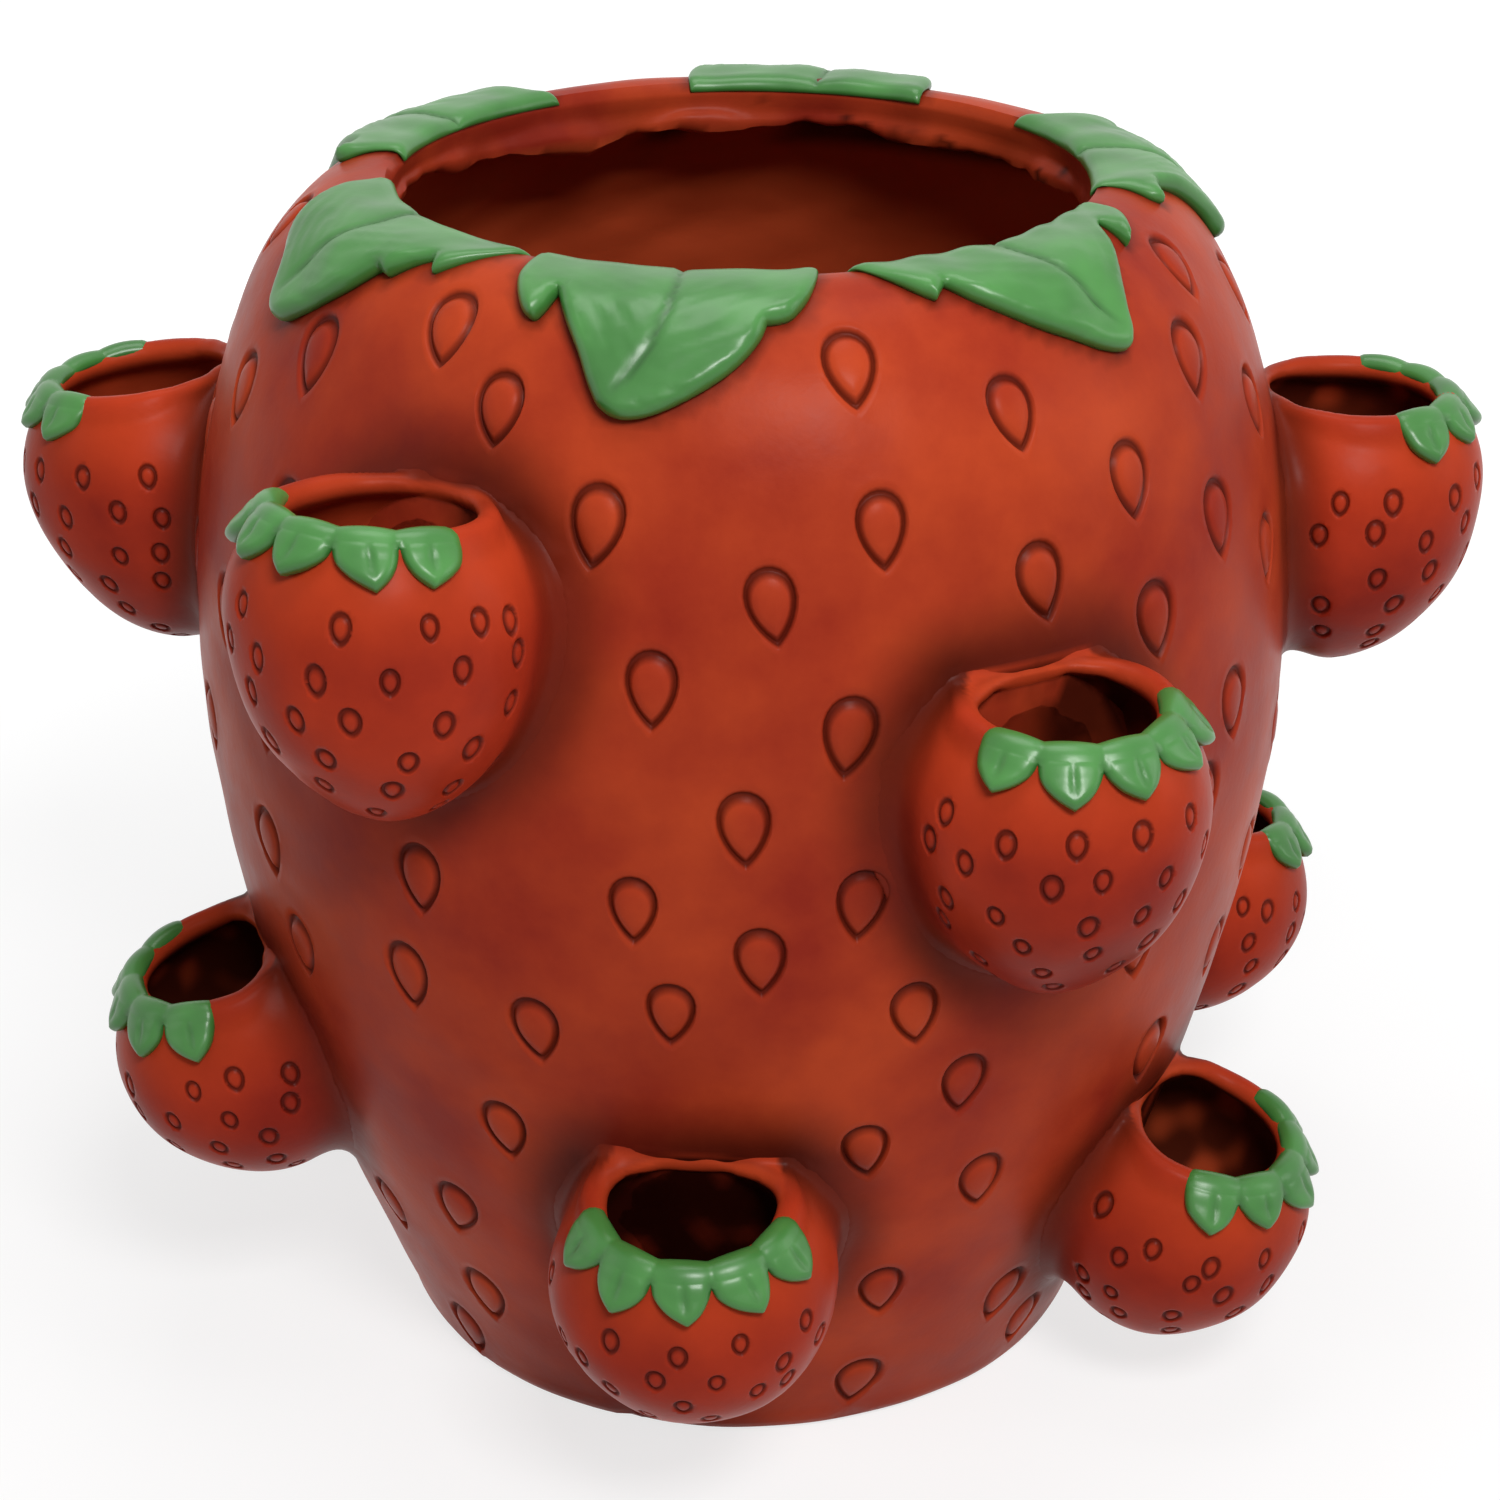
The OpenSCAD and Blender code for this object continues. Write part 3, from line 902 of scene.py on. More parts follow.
def ring_rows(skin, first, last, spacing, ends=0):
    """Staggered rows of runs and turns over the skin, with a count of its own at both ends."""
    rows = np.linspace(first, last, int((last - first) / (spacing * 0.87)))
    runs, turns = [], []
    for i, run in enumerate(rows):
        end = ends and i in (0, len(rows) - 1)
        count = ends if end else int(round(2 * math.pi * skin.at(run)[0] / spacing))
        turns.append((np.arange(count) + (0 if end else 0.5 * (i % 2))) * 2 * math.pi / count)
        runs.append(np.full(count, run))
    return np.concatenate(runs), np.concatenate(turns)


def seed_rings(skin, spots, seeds):
    """Run, turn and lift of the points on every seed's rings and at its centre, and pairs of
    neighbours on the rings."""
    drop = teardrop(SEED_POINTS, 0.7)
    after = np.roll(np.arange(SEED_POINTS), -1)
    rows, pairs, made = [], [], 0
    for run, turn, _, tilt, scale in spots:
        half = np.array([seeds.width, seeds.length]) / 2 * scale
        lean = np.array([[math.cos(tilt), -math.sin(tilt)], [math.sin(tilt), math.cos(tilt)]])
        for share, lift in SEED_RINGS:
            across, down = (drop * half * share @ lean).T
            rows.append(np.column_stack([run + down, turn + across / skin.at(run)[0],
                                         np.full(SEED_POINTS, lift)]))
            pairs.append(made + np.column_stack([np.arange(SEED_POINTS), after]))
            made += SEED_POINTS
        rows.append(np.array([[run, turn, SEED_CENTRE]]))
        made += 1
    return np.concatenate(rows), np.concatenate(pairs)


def laid_flat(skin, runs, turns):
    """Places on the skin laid out flat round the mouth, so that small patches keep their form."""
    middle = (skin.points[1:, 0] + skin.points[:-1, 0]) / 2
    spread = np.cumsum(np.concatenate([[0], np.diff(skin.run) / np.maximum(middle, MM)]))
    radius = 10 * np.exp(np.interp(runs, skin.run, spread) - spread[-1])
    return np.column_stack([radius * np.cos(turns), radius * np.sin(turns)])


def pot_shell(pot, skin, pockets, spots, seeds, spacing, edge):
    """The pot as one closed mesh, with its seeds and its share of the pockets' filler. The
    rings at the throat and at the foot, where the inside joins on, have edge points each."""
    last = skin.run[-1]
    runs, turns = ring_rows(skin, -pot.rim_round * math.pi / 2, last, spacing, edge)
    fine_runs, fine_turns = ring_rows(skin, 20 * MM, last - 8 * MM, spacing / 2)
    close = near_berries(pockets, skin, runs, turns)
    close[:edge] = close[-edge:] = False
    fine = near_berries(pockets, skin, fine_runs, fine_turns)
    base = np.flatnonzero(~close)
    foot = np.arange(len(base) - edge, len(base))
    runs = np.concatenate([runs[base], fine_runs[fine]])
    turns = np.concatenate([turns[base], fine_turns[fine]])
    radius = skin.at(runs)[:, 0]
    free = np.ones(len(runs), bool)
    for run, turn, _, _, scale in spots:
        half = np.array([seeds.width, seeds.length]) / 2 * scale
        across = wrapped(turns - turn) * radius
        free &= (across / half[0]) ** 2 + ((runs - run) / half[1]) ** 2 >= 1.55 ** 2
    free[:edge] = free[foot] = True
    foot = (np.cumsum(free) - 1)[foot]
    first_seed = int(free.sum())
    seed_points, pairs = seed_rings(skin, spots, seeds)
    runs = np.concatenate([runs[free], seed_points[:, 0]])
    turns = np.concatenate([turns[free], seed_points[:, 1]])
    lifts = np.concatenate([np.zeros(first_seed), seed_points[:, 2]])
    triangles = triangulate(laid_flat(skin, runs, turns), (pairs + first_seed).tolist())
    triangles = triangles[~(triangles < edge).all(axis=1)]
    outer = over_skin(skin, turns, 0.0, runs, np.zeros(len(runs)))
    normal = skin.normal(runs)
    normal = around(normal[:, 0], normal[:, 1], turns)
    outer = outer + normal * pot_bumps(pot, outer)[:, None]
    for pocket in pockets:
        outer = with_filler(pocket, outer)
    outer = outer + normal * (lifts * seeds.depth)[:, None]
    for ring in (np.arange(edge), foot):
        outer[ring] = over_skin(skin, turns[ring], 0.0, runs[ring], 0.0)
    a, b, c = outer[triangles].transpose(1, 0, 2)
    facing = (np.cross(b - a, c - a) * normal[triangles[:, 0]]).sum(axis=1)
    if np.median(facing) < 0:
        triangles = triangles[:, ::-1]
    inner, squares = pot_inside(pot, skin, edge)
    index = np.concatenate([np.arange(edge), np.arange(len(outer), len(outer) + len(inner)), foot])
    faces = triangles.tolist() + index[squares].tolist()
    return np.concatenate([outer, inner]), faces


def inside_path(pot, skin):
    """The curve of the inside, from the throat down the wall and over the floor to the drain."""
    throat = [(pot.mouth, pot.height - pot.rim_round)]
    # the torn band under the rim: millimetres out from the mouth, and walls down from the rim
    for out, walls in ((0.4, 0.9), (-0.8, 1.25), (-0.4, 1.45), (1.6, 1.55), (5, 1.45)):
        throat.append((pot.mouth + out * MM, pot.height - walls * pot.wall))
    runs = np.linspace(20 * MM, skin.run[-1] - 2 * pot.foot_round, 130)
    wall = skin.lifted(runs, np.full(len(runs), -pot.wall))
    wall = wall[wall[:, 1] > pot.floor + 6 * MM]
    corner = side_radius(pot, pot.floor) - pot.wall
    floor = [(corner - 1 * MM, pot.floor + 3 * MM), (corner - 5 * MM, pot.floor),
             (pot.drain + 2 * MM, pot.floor), (pot.drain, pot.floor - 2 * MM),
             (pot.drain, 2 * MM), (pot.drain + 2 * MM, 0)]
    return Profile(throat + wall.tolist() + floor + [tuple(skin.points[-1])])


def inside_stations(path):
    """Runs along the inside's curve, close together over the first 40 mm, which are seen."""
    stations = []
    for start, end in zip(path.run[:-1], path.run[1:]):
        gap = (1.3 if end < 40 * MM else 6.0) * MM
        count = max(int(math.ceil((end - start) / gap)), 1)
        stations.extend(np.linspace(start, end, count, endpoint=False))
    keep = [stations[0]]
    for station in stations[1:]:
        gap = (1.1 if station < 40 * MM else 5.0) * MM
        if abs(path.run - station).min() < 1e-9:
            gap = 0.9 * MM
        if station - keep[-1] > gap:
            keep.append(station)
    return np.array(keep[1:])


def pot_inside(pot, skin, count):
    """Rows of squares from the throat's top ring down the inside and back to the foot's ring.
    The first and last rings belong to the outer skin and are numbered but not given."""
    path = inside_path(pot, skin)
    stations = inside_stations(path)
    run, turn = np.meshgrid(stations, np.arange(count) * 2 * math.pi / count, indexing="ij")
    spot, normal = path.at(run), path.normal(run)
    points = around(spot[..., 0], spot[..., 1], turn).reshape(-1, 3)
    out = around(normal[..., 0], normal[..., 1], turn).reshape(-1, 3)
    depth = pot.height - points[:, 2]
    torn = peak(depth - 1.45 * pot.wall, 4.5) * (flat_of(points)[0] < pot.mouth + 6 * MM)
    raw = ramp(depth, 4, 12) * ramp(points[:, 2], 1, 7)
    rough = 1.1 * bumps(points, 24 * MM, 26) + 0.4 * bumps(points, 9 * MM, 27)
    points = points + out * (ramp(depth, 3, 8) * torn * MM * rough)[:, None]
    rough = bumps(points, 22 * MM, 21) + 0.35 * bumps(points, 6 * MM, 22)
    points = points + out * (raw * 0.5 * MM * rough)[:, None]
    rough = 0.8 * bumps(points, 55 * MM, 23) + 0.2 * bumps(points, 12 * MM, 24)
    points[:, 2] += torn * pot.torn * rough
    rows = len(stations) + 2
    grid = np.arange(rows * count).reshape(rows, count)
    after = np.roll(grid, -1, axis=1)
    squares = np.stack([grid[:-1], after[:-1], after[1:], grid[1:]], axis=-1).reshape(-1, 4)
    return points, squares


def junction_shade(skin, outside):
    """How much painted shade lies in the corner between the pot and a pocket, from the distances
    to both."""
    return ramp(1.5 * np.maximum(skin, 0) + np.maximum(outside, 0), 24, 0)


def throat_marks(pot, points, depth):
    """Near-black painted shade on the torn edge under the rim and in specks over it, and painted
    shade on the band there.
    """
    radius, height = flat_of(points)
    below = pot.height - height
    # painted shade on the torn edge under the rim, darker towards +X
    torn = smooth_step(0.5 + points[:, 0] / (50 * MM) + 0.5 * bumps(points, 30 * MM, 25))
    under_rim = ramp(np.abs(below - 2 * pot.wall), 9.1, 2.1) * (depth > 2 * MM)
    black_shade_amount = 0.95 * torn * under_rim * ramp(radius - pot.mouth, -0.2, 1.3)
    # painted shade on the band inside the mouth, with near-black specks of it towards +X
    band = (radius < pot.mouth + 3 * MM) * ramp(below, 2, 6) * (height > pot.height / 2)
    specks = smooth_step((bumps(points, 7 * MM, 28) * bumps(points, 19 * MM, 29) - 0.5) / 0.5)
    black_shade_amount = np.maximum(black_shade_amount, 0.85 * band * specks * ramp(points[:, 0], -30, 30))
    return black_shade_amount, band * (0.3 + 0.12 * bumps(points, 16 * MM, 30))


def leaf_shade(skin, points, plain, leaves):
    """How near the pot's skin is to a crown leaf, where a painted shadow lies."""
    outer = skin.run >= 0
    run = np.interp(-points[:, 2], -skin.points[outer][:, 1], skin.run[outer])
    high = (run < 60 * MM) & (plain > -2 * MM)
    turn = np.arctan2(points[high, 0], -points[high, 1])
    shade = np.zeros(len(points))
    for azimuth, outline in leaves:
        across = wrapped(turn - azimuth) * flat_of(points[high])[0]
        gap = outline_distance(np.column_stack([across, run[high]]), outline)
        shade[high] = np.maximum(shade[high], ramp(gap, 3.5, 0))
    return shade


def pot_marks(pot, points, solid, skin, pockets, leaves):
    """Painted shade in grooves, in corners, on the band under the rim and by the leaves, how raw
    the resin is, and near-black painted shade, at points of the pot."""
    radius, height = flat_of(points)
    plain = solid(radius, height) - pot_bumps(pot, points)
    depth, below = -plain, pot.height - height
    raw = ramp(depth, 1.6, 4.6) * ramp(below - 1.4 * pot.wall, 0, 3)
    raw = np.where(height < 1.5 * MM, 0.5, raw)
    black_shade_amount, painted_shade = throat_marks(pot, points, depth)
    grooved = (raw < 0.2) & (below > 5 * MM) & (radius > pot.mouth + 6 * MM)
    # painted shade in the seeds' grooves
    painted_shade = np.maximum(painted_shade, ramp(depth, 0.1, 0.7) * grooved)
    corner = np.zeros(len(points))
    for pocket in pockets:
        near = pocket.near(points)
        spots = pocket.local(points[near])
        gap = pocket.turned(spots, pocket.shape.outer)
        room = np.maximum(pocket.turned(spots, pocket.shape.room), pocket.arch(spots))
        # painted shade in the corner between the pot and the pocket
        close = junction_shade(plain[near], gap) * ramp(room, -2, 3)
        corner[near] = np.maximum(corner[near], close)
        # near-black painted shade under the lip, inside the pocket and along the window's edge
        under = 0.9 * ramp(np.abs(pocket.lip(spots)[0]), 2.2, 0) * (room < 1 * MM)
        ragged = room + 0.8 * MM * bumps(spots, 6 * MM, 91)
        inside_shade = pocket.shadowed_inside(spots) * ramp(ragged, 0, -1.5)
        edge = ramp(np.abs(pocket.opening(spots)), 3.1, 0.6) * ramp(depth[near], 0.3, 1.3)
        black_shade_amount[near] = np.maximum.reduce([black_shade_amount[near], under, inside_shade, edge])
    return {"painted_shade": painted_shade, "corner": corner * (raw < 0.5), "raw": raw, "cut": black_shade_amount,
            "shade": leaf_shade(skin, points, plain, leaves)}


def leaf_outline(leaf, flip, spacing):
    """A crown leaf's outline and midrib in metres, mirrored if flip is -1."""
    outline = spline([(x * flip * MM, y * MM, sharp) for x, y, sharp in leaf[0]], spacing)
    rib = np.array([(x * flip * MM, y * MM) for x, y in leaf[1]])
    steps = np.linspace(0, len(rib) - 1, 60)
    rib = np.stack([np.interp(steps, np.arange(len(rib)), rib[:, i]) for i in (0, 1)], axis=1)
    return outline, rib


def rib_distance(points, rib):
    """Distance to the midrib, and the share along it of the nearest point."""
    gaps = np.linalg.norm(points[:, None] - rib[None], axis=2)
    nearest = gaps.argmin(axis=1)
    return gaps[np.arange(len(points)), nearest], nearest / (len(rib) - 1)


def leaf_mesh(triangles, count, top, under, crease, roll):
    """A closed leaf's points and faces, with its creases and edges, where its paint lays painted
    shade; the whole underside counts as edge.
    """
    points, faces = shell_of(triangles, count, top, under)
    spare = np.zeros(len(points) - len(top))
    return points, faces, np.concatenate([crease, spare]), np.concatenate([1 - roll, spare + 1])


def crown_leaf_mesh(leaves, skin, azimuth, outline, rib, seed, spacing):
    """A puffed leaf over the shoulder with a rolled edge, a grooved midrib and soft veins."""
    points, triangles, depth = blister(outline, spacing, leaves.edge)
    across, run = points.T
    body = leaves.rim_thickness + (leaves.thickness - leaves.rim_thickness) * ramp(run, 0, 20)
    low = 0.28 * body
    roll = rolled(depth, leaves.edge)
    gap, along = rib_distance(points, rib)
    fade = smooth_step(along / 0.06) * smooth_step((1.02 - along) / 0.25)
    crease = fade * peak(gap, 0.9)
    hollow = leaves.groove * (crease + 0.7 * fade * peak(gap, 5))
    waves = np.sin((along * 60 * MM + gap * 0.8) / (6.5 * MM) * 2 * math.pi)
    veins = 0.13 * MM * waves * ramp(run, 4, 16) * ramp(gap, 1, 5) * fade
    spots = np.column_stack([across, run, np.full(len(run), seed * 0.1)])
    soft = 0.3 * MM * bumps(spots, 17 * MM, 30 + seed)
    height = low + (body - low) * roll + roll * (soft - hollow + veins)
    under = np.where(depth < 1e-9, low, 0.25 * MM - np.clip(depth * 0.5, 0, 0.9 * MM))
    top = over_skin(skin, azimuth, across, run, height)
    bottom = over_skin(skin, azimuth, across, run, under)
    return leaf_mesh(triangles, len(outline), top, bottom, crease, roll)


# A leaflet's outline from one notch to the next: shares of its half width, of its length and
# of how far its tip leans, with 1 at a sharp corner
LEAFLET = [(-0.84, 0.64, 0.1, 0), (-0.5, 0.83, 0.5, 0), (0.0, 1.0, 1.0, 1),
           (0.5, 0.83, 0.5, 0), (0.84, 0.64, 0.1, 0)]


def collar_outline(rng, leaves, half_width, spacing):
    """Pointed leaflets side by side on one band, as across and down from the mouth's edge,
    with each leaflet's midrib and the valleys between them."""
    count = leaves.leaflets
    edge = count * half_width
    shape = [(-edge, 0, 1), (-1.02 * edge, 0.25 * leaves.leaflet, 0)]
    ribs, valleys = [], []
    for i in range(count):
        middle = (2 * i + 1 - count) * half_width
        size = leaves.leaflet * rng.uniform(0.92, 1.06)
        lean = rng.uniform(-0.35, 0.35) * half_width
        if i:
            notch = leaves.leaflet * rng.uniform(0.42, 0.52)
            shape.append((middle - half_width, notch, 1))
            valleys.append((middle - half_width, notch))
        shape += [(middle + x * half_width + share * lean, y * size, sharp)
                  for x, y, share, sharp in LEAFLET]
        ribs.append(np.column_stack([np.linspace(middle, middle + lean, 30),
                                     np.linspace(0.05 * size, 0.96 * size, 30)]))
    shape += [(1.02 * edge, 0.25 * leaves.leaflet, 0), (edge, 0, 1)]
    return spline(shape, spacing), ribs, valleys


def collar_mesh(leaves, pocket, spacing):
    """Leaflets side by side round the outer half of a pocket's lip, as one closed mesh."""
    rng = np.random.default_rng(200 + pocket.number)
    skin = pocket.skin
    start = skin.run[0] + 0.5 * MM
    reach = skin.at(9 * MM)[0]
    half_width = reach * leaves.span / leaves.leaflets / 2
    outline, ribs, valleys = collar_outline(rng, leaves, half_width, spacing)
    points, triangles, depth = blister(outline, spacing, leaves.leaflet_edge)
    across, down = points.T
    gap, along = np.full(len(points), np.inf), np.zeros(len(points))
    for rib in ribs:
        its_gap, its_along = rib_distance(points, rib)
        along = np.where(its_gap < gap, its_along, along)
        gap = np.minimum(gap, its_gap)
    roll = rolled(depth, leaves.leaflet_edge)
    crease = peak(gap, 0.8) * smooth_step((1.0 - along) / 0.4) * ramp(down, 4, 9)
    valley = np.zeros(len(points))
    for middle, notch in valleys:
        line = peak(across - middle, 1.1) * smooth_step((down - 3 * MM) / (0.5 * notch))
        valley = np.maximum(valley, line * ramp(down - notch, 3, 1))
    body = leaves.leaflet_thickness * (0.6 + 0.4 * ramp(down, 0, 8))
    low = 0.36 * body
    puff = 0.8 * MM * np.clip(1 - (gap / half_width) ** 2, 0, 1)
    height = low + (body - low) * roll + roll * (puff - 0.6 * MM * crease - 0.4 * MM * valley)
    height += 0.8 * MM * smooth_step((down / leaves.leaflet - 0.55) / 0.45)
    under = np.where(depth < 1e-9, height, 0.3 * MM - np.clip(depth * 0.6, 0, 0.9 * MM))
    sheets = []
    for lift in (height, under):
        lifted = skin.lifted(start + down, lift)
        sheets.append(around(lifted[:, 0], lifted[:, 1], across / reach))
    # painted shade in the leaflets' midribs and in the valleys between them
    dark = np.maximum(0.4 * crease, 0.6 * valley)
    made, *rest = leaf_mesh(triangles, len(outline), *sheets, dark, roll)
    return pocket.world(pocket.tilted(made)), *rest


# Rings of the moat round a small seed: share of the seed's outline, and depth as a share of
# the groove's. The centre has a depth too.
SMALL_SEED_RINGS = [(1.25, -0.7), (1.0, 0.3), (0.91, 0.85), (0.8, 1.0), (0.69, 0.8),
                    (0.58, 0.3), (0.35, 0.1)]
SMALL_SEED_CENTRE = 0.08
SMALL_SEED_POINTS = 20


def small_seeds(pocket, seeds):
    """Points on the rings and at the centre of each small seed, on a pocket's plain skin, clear
    of the pot and of the collar."""
    rng = np.random.default_rng(300 + pocket.number)
    drop = teardrop(SMALL_SEED_POINTS, 0.25)
    found = []
    for row, run in enumerate(np.arange(22, pocket.skin.run[-1] / MM - 7, 11) * MM):
        count = max(int(round(2 * math.pi * pocket.skin.at(run)[0] / (16.5 * MM))), 3)
        for i in range(count):
            turn = (i + 0.5 * (row % 2)) * 2 * math.pi / count + rng.normal() * 0.07
            down = run + rng.normal() * 1.3 * MM
            half = np.array([seeds.small_width, seeds.small_length]) / 2 * rng.uniform(0.9, 1.1)
            away = abs(wrapped(turn))
            centre = around(*pocket.skin.at(down), turn)
            if away > 2.3 or away < 1.75 and centre[2] > -17 * MM:
                continue
            if pocket.pot_skin(centre[None])[0] < 9 * MM:
                continue
            along = unit(pocket.skin.at(down + MM) - pocket.skin.at(down - MM))
            axes = np.stack([[math.cos(turn), math.sin(turn), 0], around(*along, turn)])
            rings = [centre + drop * half @ axes * share for share, _ in SMALL_SEED_RINGS]
            found.append(np.concatenate(rings + [centre[None]]))
    return found


def moat_faces(n, rings):
    """Triangles of one seed's cutter: rings of n points and a centre, then a ring of its lid
    and the lid's centre."""
    ring = np.arange(n)
    after = np.roll(ring, -1)
    faces = []
    for low in range(0, (rings - 1) * n, n):
        faces.append(np.stack([ring + low, after + low, after + low + n], 1))
        faces.append(np.stack([ring + low, after + low + n, ring + low + n], 1))
    last, centre = (rings - 1) * n, rings * n
    lid = centre + 1
    faces.append(np.stack([ring + last, after + last, np.full(n, centre)], 1))
    faces.append(np.stack([ring, ring + lid, after + lid], 1))
    faces.append(np.stack([ring, after + lid, after], 1))
    faces.append(np.stack([ring + lid, np.full(n, lid + n), after + lid], 1))
    return np.concatenate(faces)


def pocket_seed_cutters(pocket, seeds):
    """Oval moats round the small seeds of a pocket, as one closed mesh in its own frame."""
    found = small_seeds(pocket, seeds)
    base = settle(pocket.tilted(np.concatenate(found)), pocket.wall, 2 * MM, rounds=3)
    out = unit(slope(pocket.wall, base))
    n = SMALL_SEED_POINTS
    depths = np.repeat([depth for _, depth in SMALL_SEED_RINGS], n)
    depths = np.append(depths, SMALL_SEED_CENTRE) * seeds.small_depth
    bottom = base - out * np.tile(depths, len(found))[:, None]
    faces = moat_faces(n, len(SMALL_SEED_RINGS))
    cutters = []
    for start in range(0, len(base), len(depths)):
        own = slice(start, start + len(depths))
        lid_ring = base[own][:n] + out[own][:n] * 1.6 * MM
        lid = base[own][-1:] + out[own][-1:] * 3 * MM
        points = np.concatenate([bottom[own], lid_ring, lid])
        cutters.append((points, faces if signed_volume(points, faces) > 0 else faces[:, ::-1]))
    return joined(cutters)


def signed_volume(points, faces):
    """The volume in a closed mesh, negative where its faces are turned inwards."""
    a, b, c = (points - points.mean(axis=0))[faces].transpose(1, 0, 2)
    return (np.cross(a, b) * c).sum() / 6


def pocket_marks(pocket, points):
    """Painted shade in grooves and corners, raw resin inside, a painted highlight of lighter orange
    on the lip and the pocket's top, the pot's red on the filler, and near-black painted shade, at
    points of a pocket."""
    skin = pocket.pot_skin(points)
    outside = pocket.berry(points)
    roll, height = pocket.lip(points)
    roll = ramp(roll, 1.5, 0) * ramp(height, -1.25, 1.25)
    inner = ramp(pocket.hollow(points), 1.2, -0.2) * (1 - roll)
    depth = -points[:, 2]
    groove = ramp(-pocket.wall(points), 0.08, 0.38)
    # painted highlight: lighter orange over the pocket's top and its rolled lip
    lip = ramp(depth, 29, 3) * ramp(outside, 4, -1)
    # near-black painted shade along the window's edge and inside the pocket
    hole = ramp(np.abs(pocket.opening(points)), 2.3, 0.8) * ramp(-skin, 0.6, 1.6)
    inside_shade = pocket.shadowed_inside(points) * inner * ramp(depth, 1, 5)
    # painted shade in the small seeds' grooves and in the corner by the pot
    return {"painted_shade": groove * (1 - inner),
            "corner": junction_shade(skin, outside) * (1 - inner) * (1 - roll),
            "raw": inner * (0.15 + 0.85 * ramp(depth, 1.5, 25.5)),
            "lip": np.maximum(0.6 * lip, 0.8 * roll),
            "blend": ramp(skin, 9, 0) * (1 - inner),
            "cut": np.maximum(hole, inside_shade)}


def add(tree, kind, inputs=None, **settings):
    """Adds a node with its settings and inputs, and links the inputs that are sockets."""
    node = tree.nodes.new(kind)
    for name, value in settings.items():
        setattr(node, name, value)
    for name, value in (inputs or {}).items():
        if isinstance(value, bpy.types.NodeSocket):
            tree.links.new(value, node.inputs[name])
        else:
            node.inputs[name].default_value = value
    return node


def new_material(name):
    """A material without nodes, and its tree."""
    material = bpy.data.materials.new(name)
    material.use_nodes = True
    material.node_tree.nodes.clear()
    return material, material.node_tree


def rgba(colour):
    """A colour with full cover."""
    return (*colour, 1.0)


def faded(tree, colour, mark_name, share, over):
    """Lays a share of a colour over another where a piece's mark says so."""
    amount = add(tree, "ShaderNodeAttribute", attribute_name=mark_name).outputs["Fac"]
    amount = add(tree, "ShaderNodeMath", {0: amount, 1: share}, operation="MULTIPLY",
                 use_clamp=True).outputs[0]
    return add(tree, "ShaderNodeMix", {0: amount, 6: colour, 7: over},
               data_type="RGBA").outputs[2]


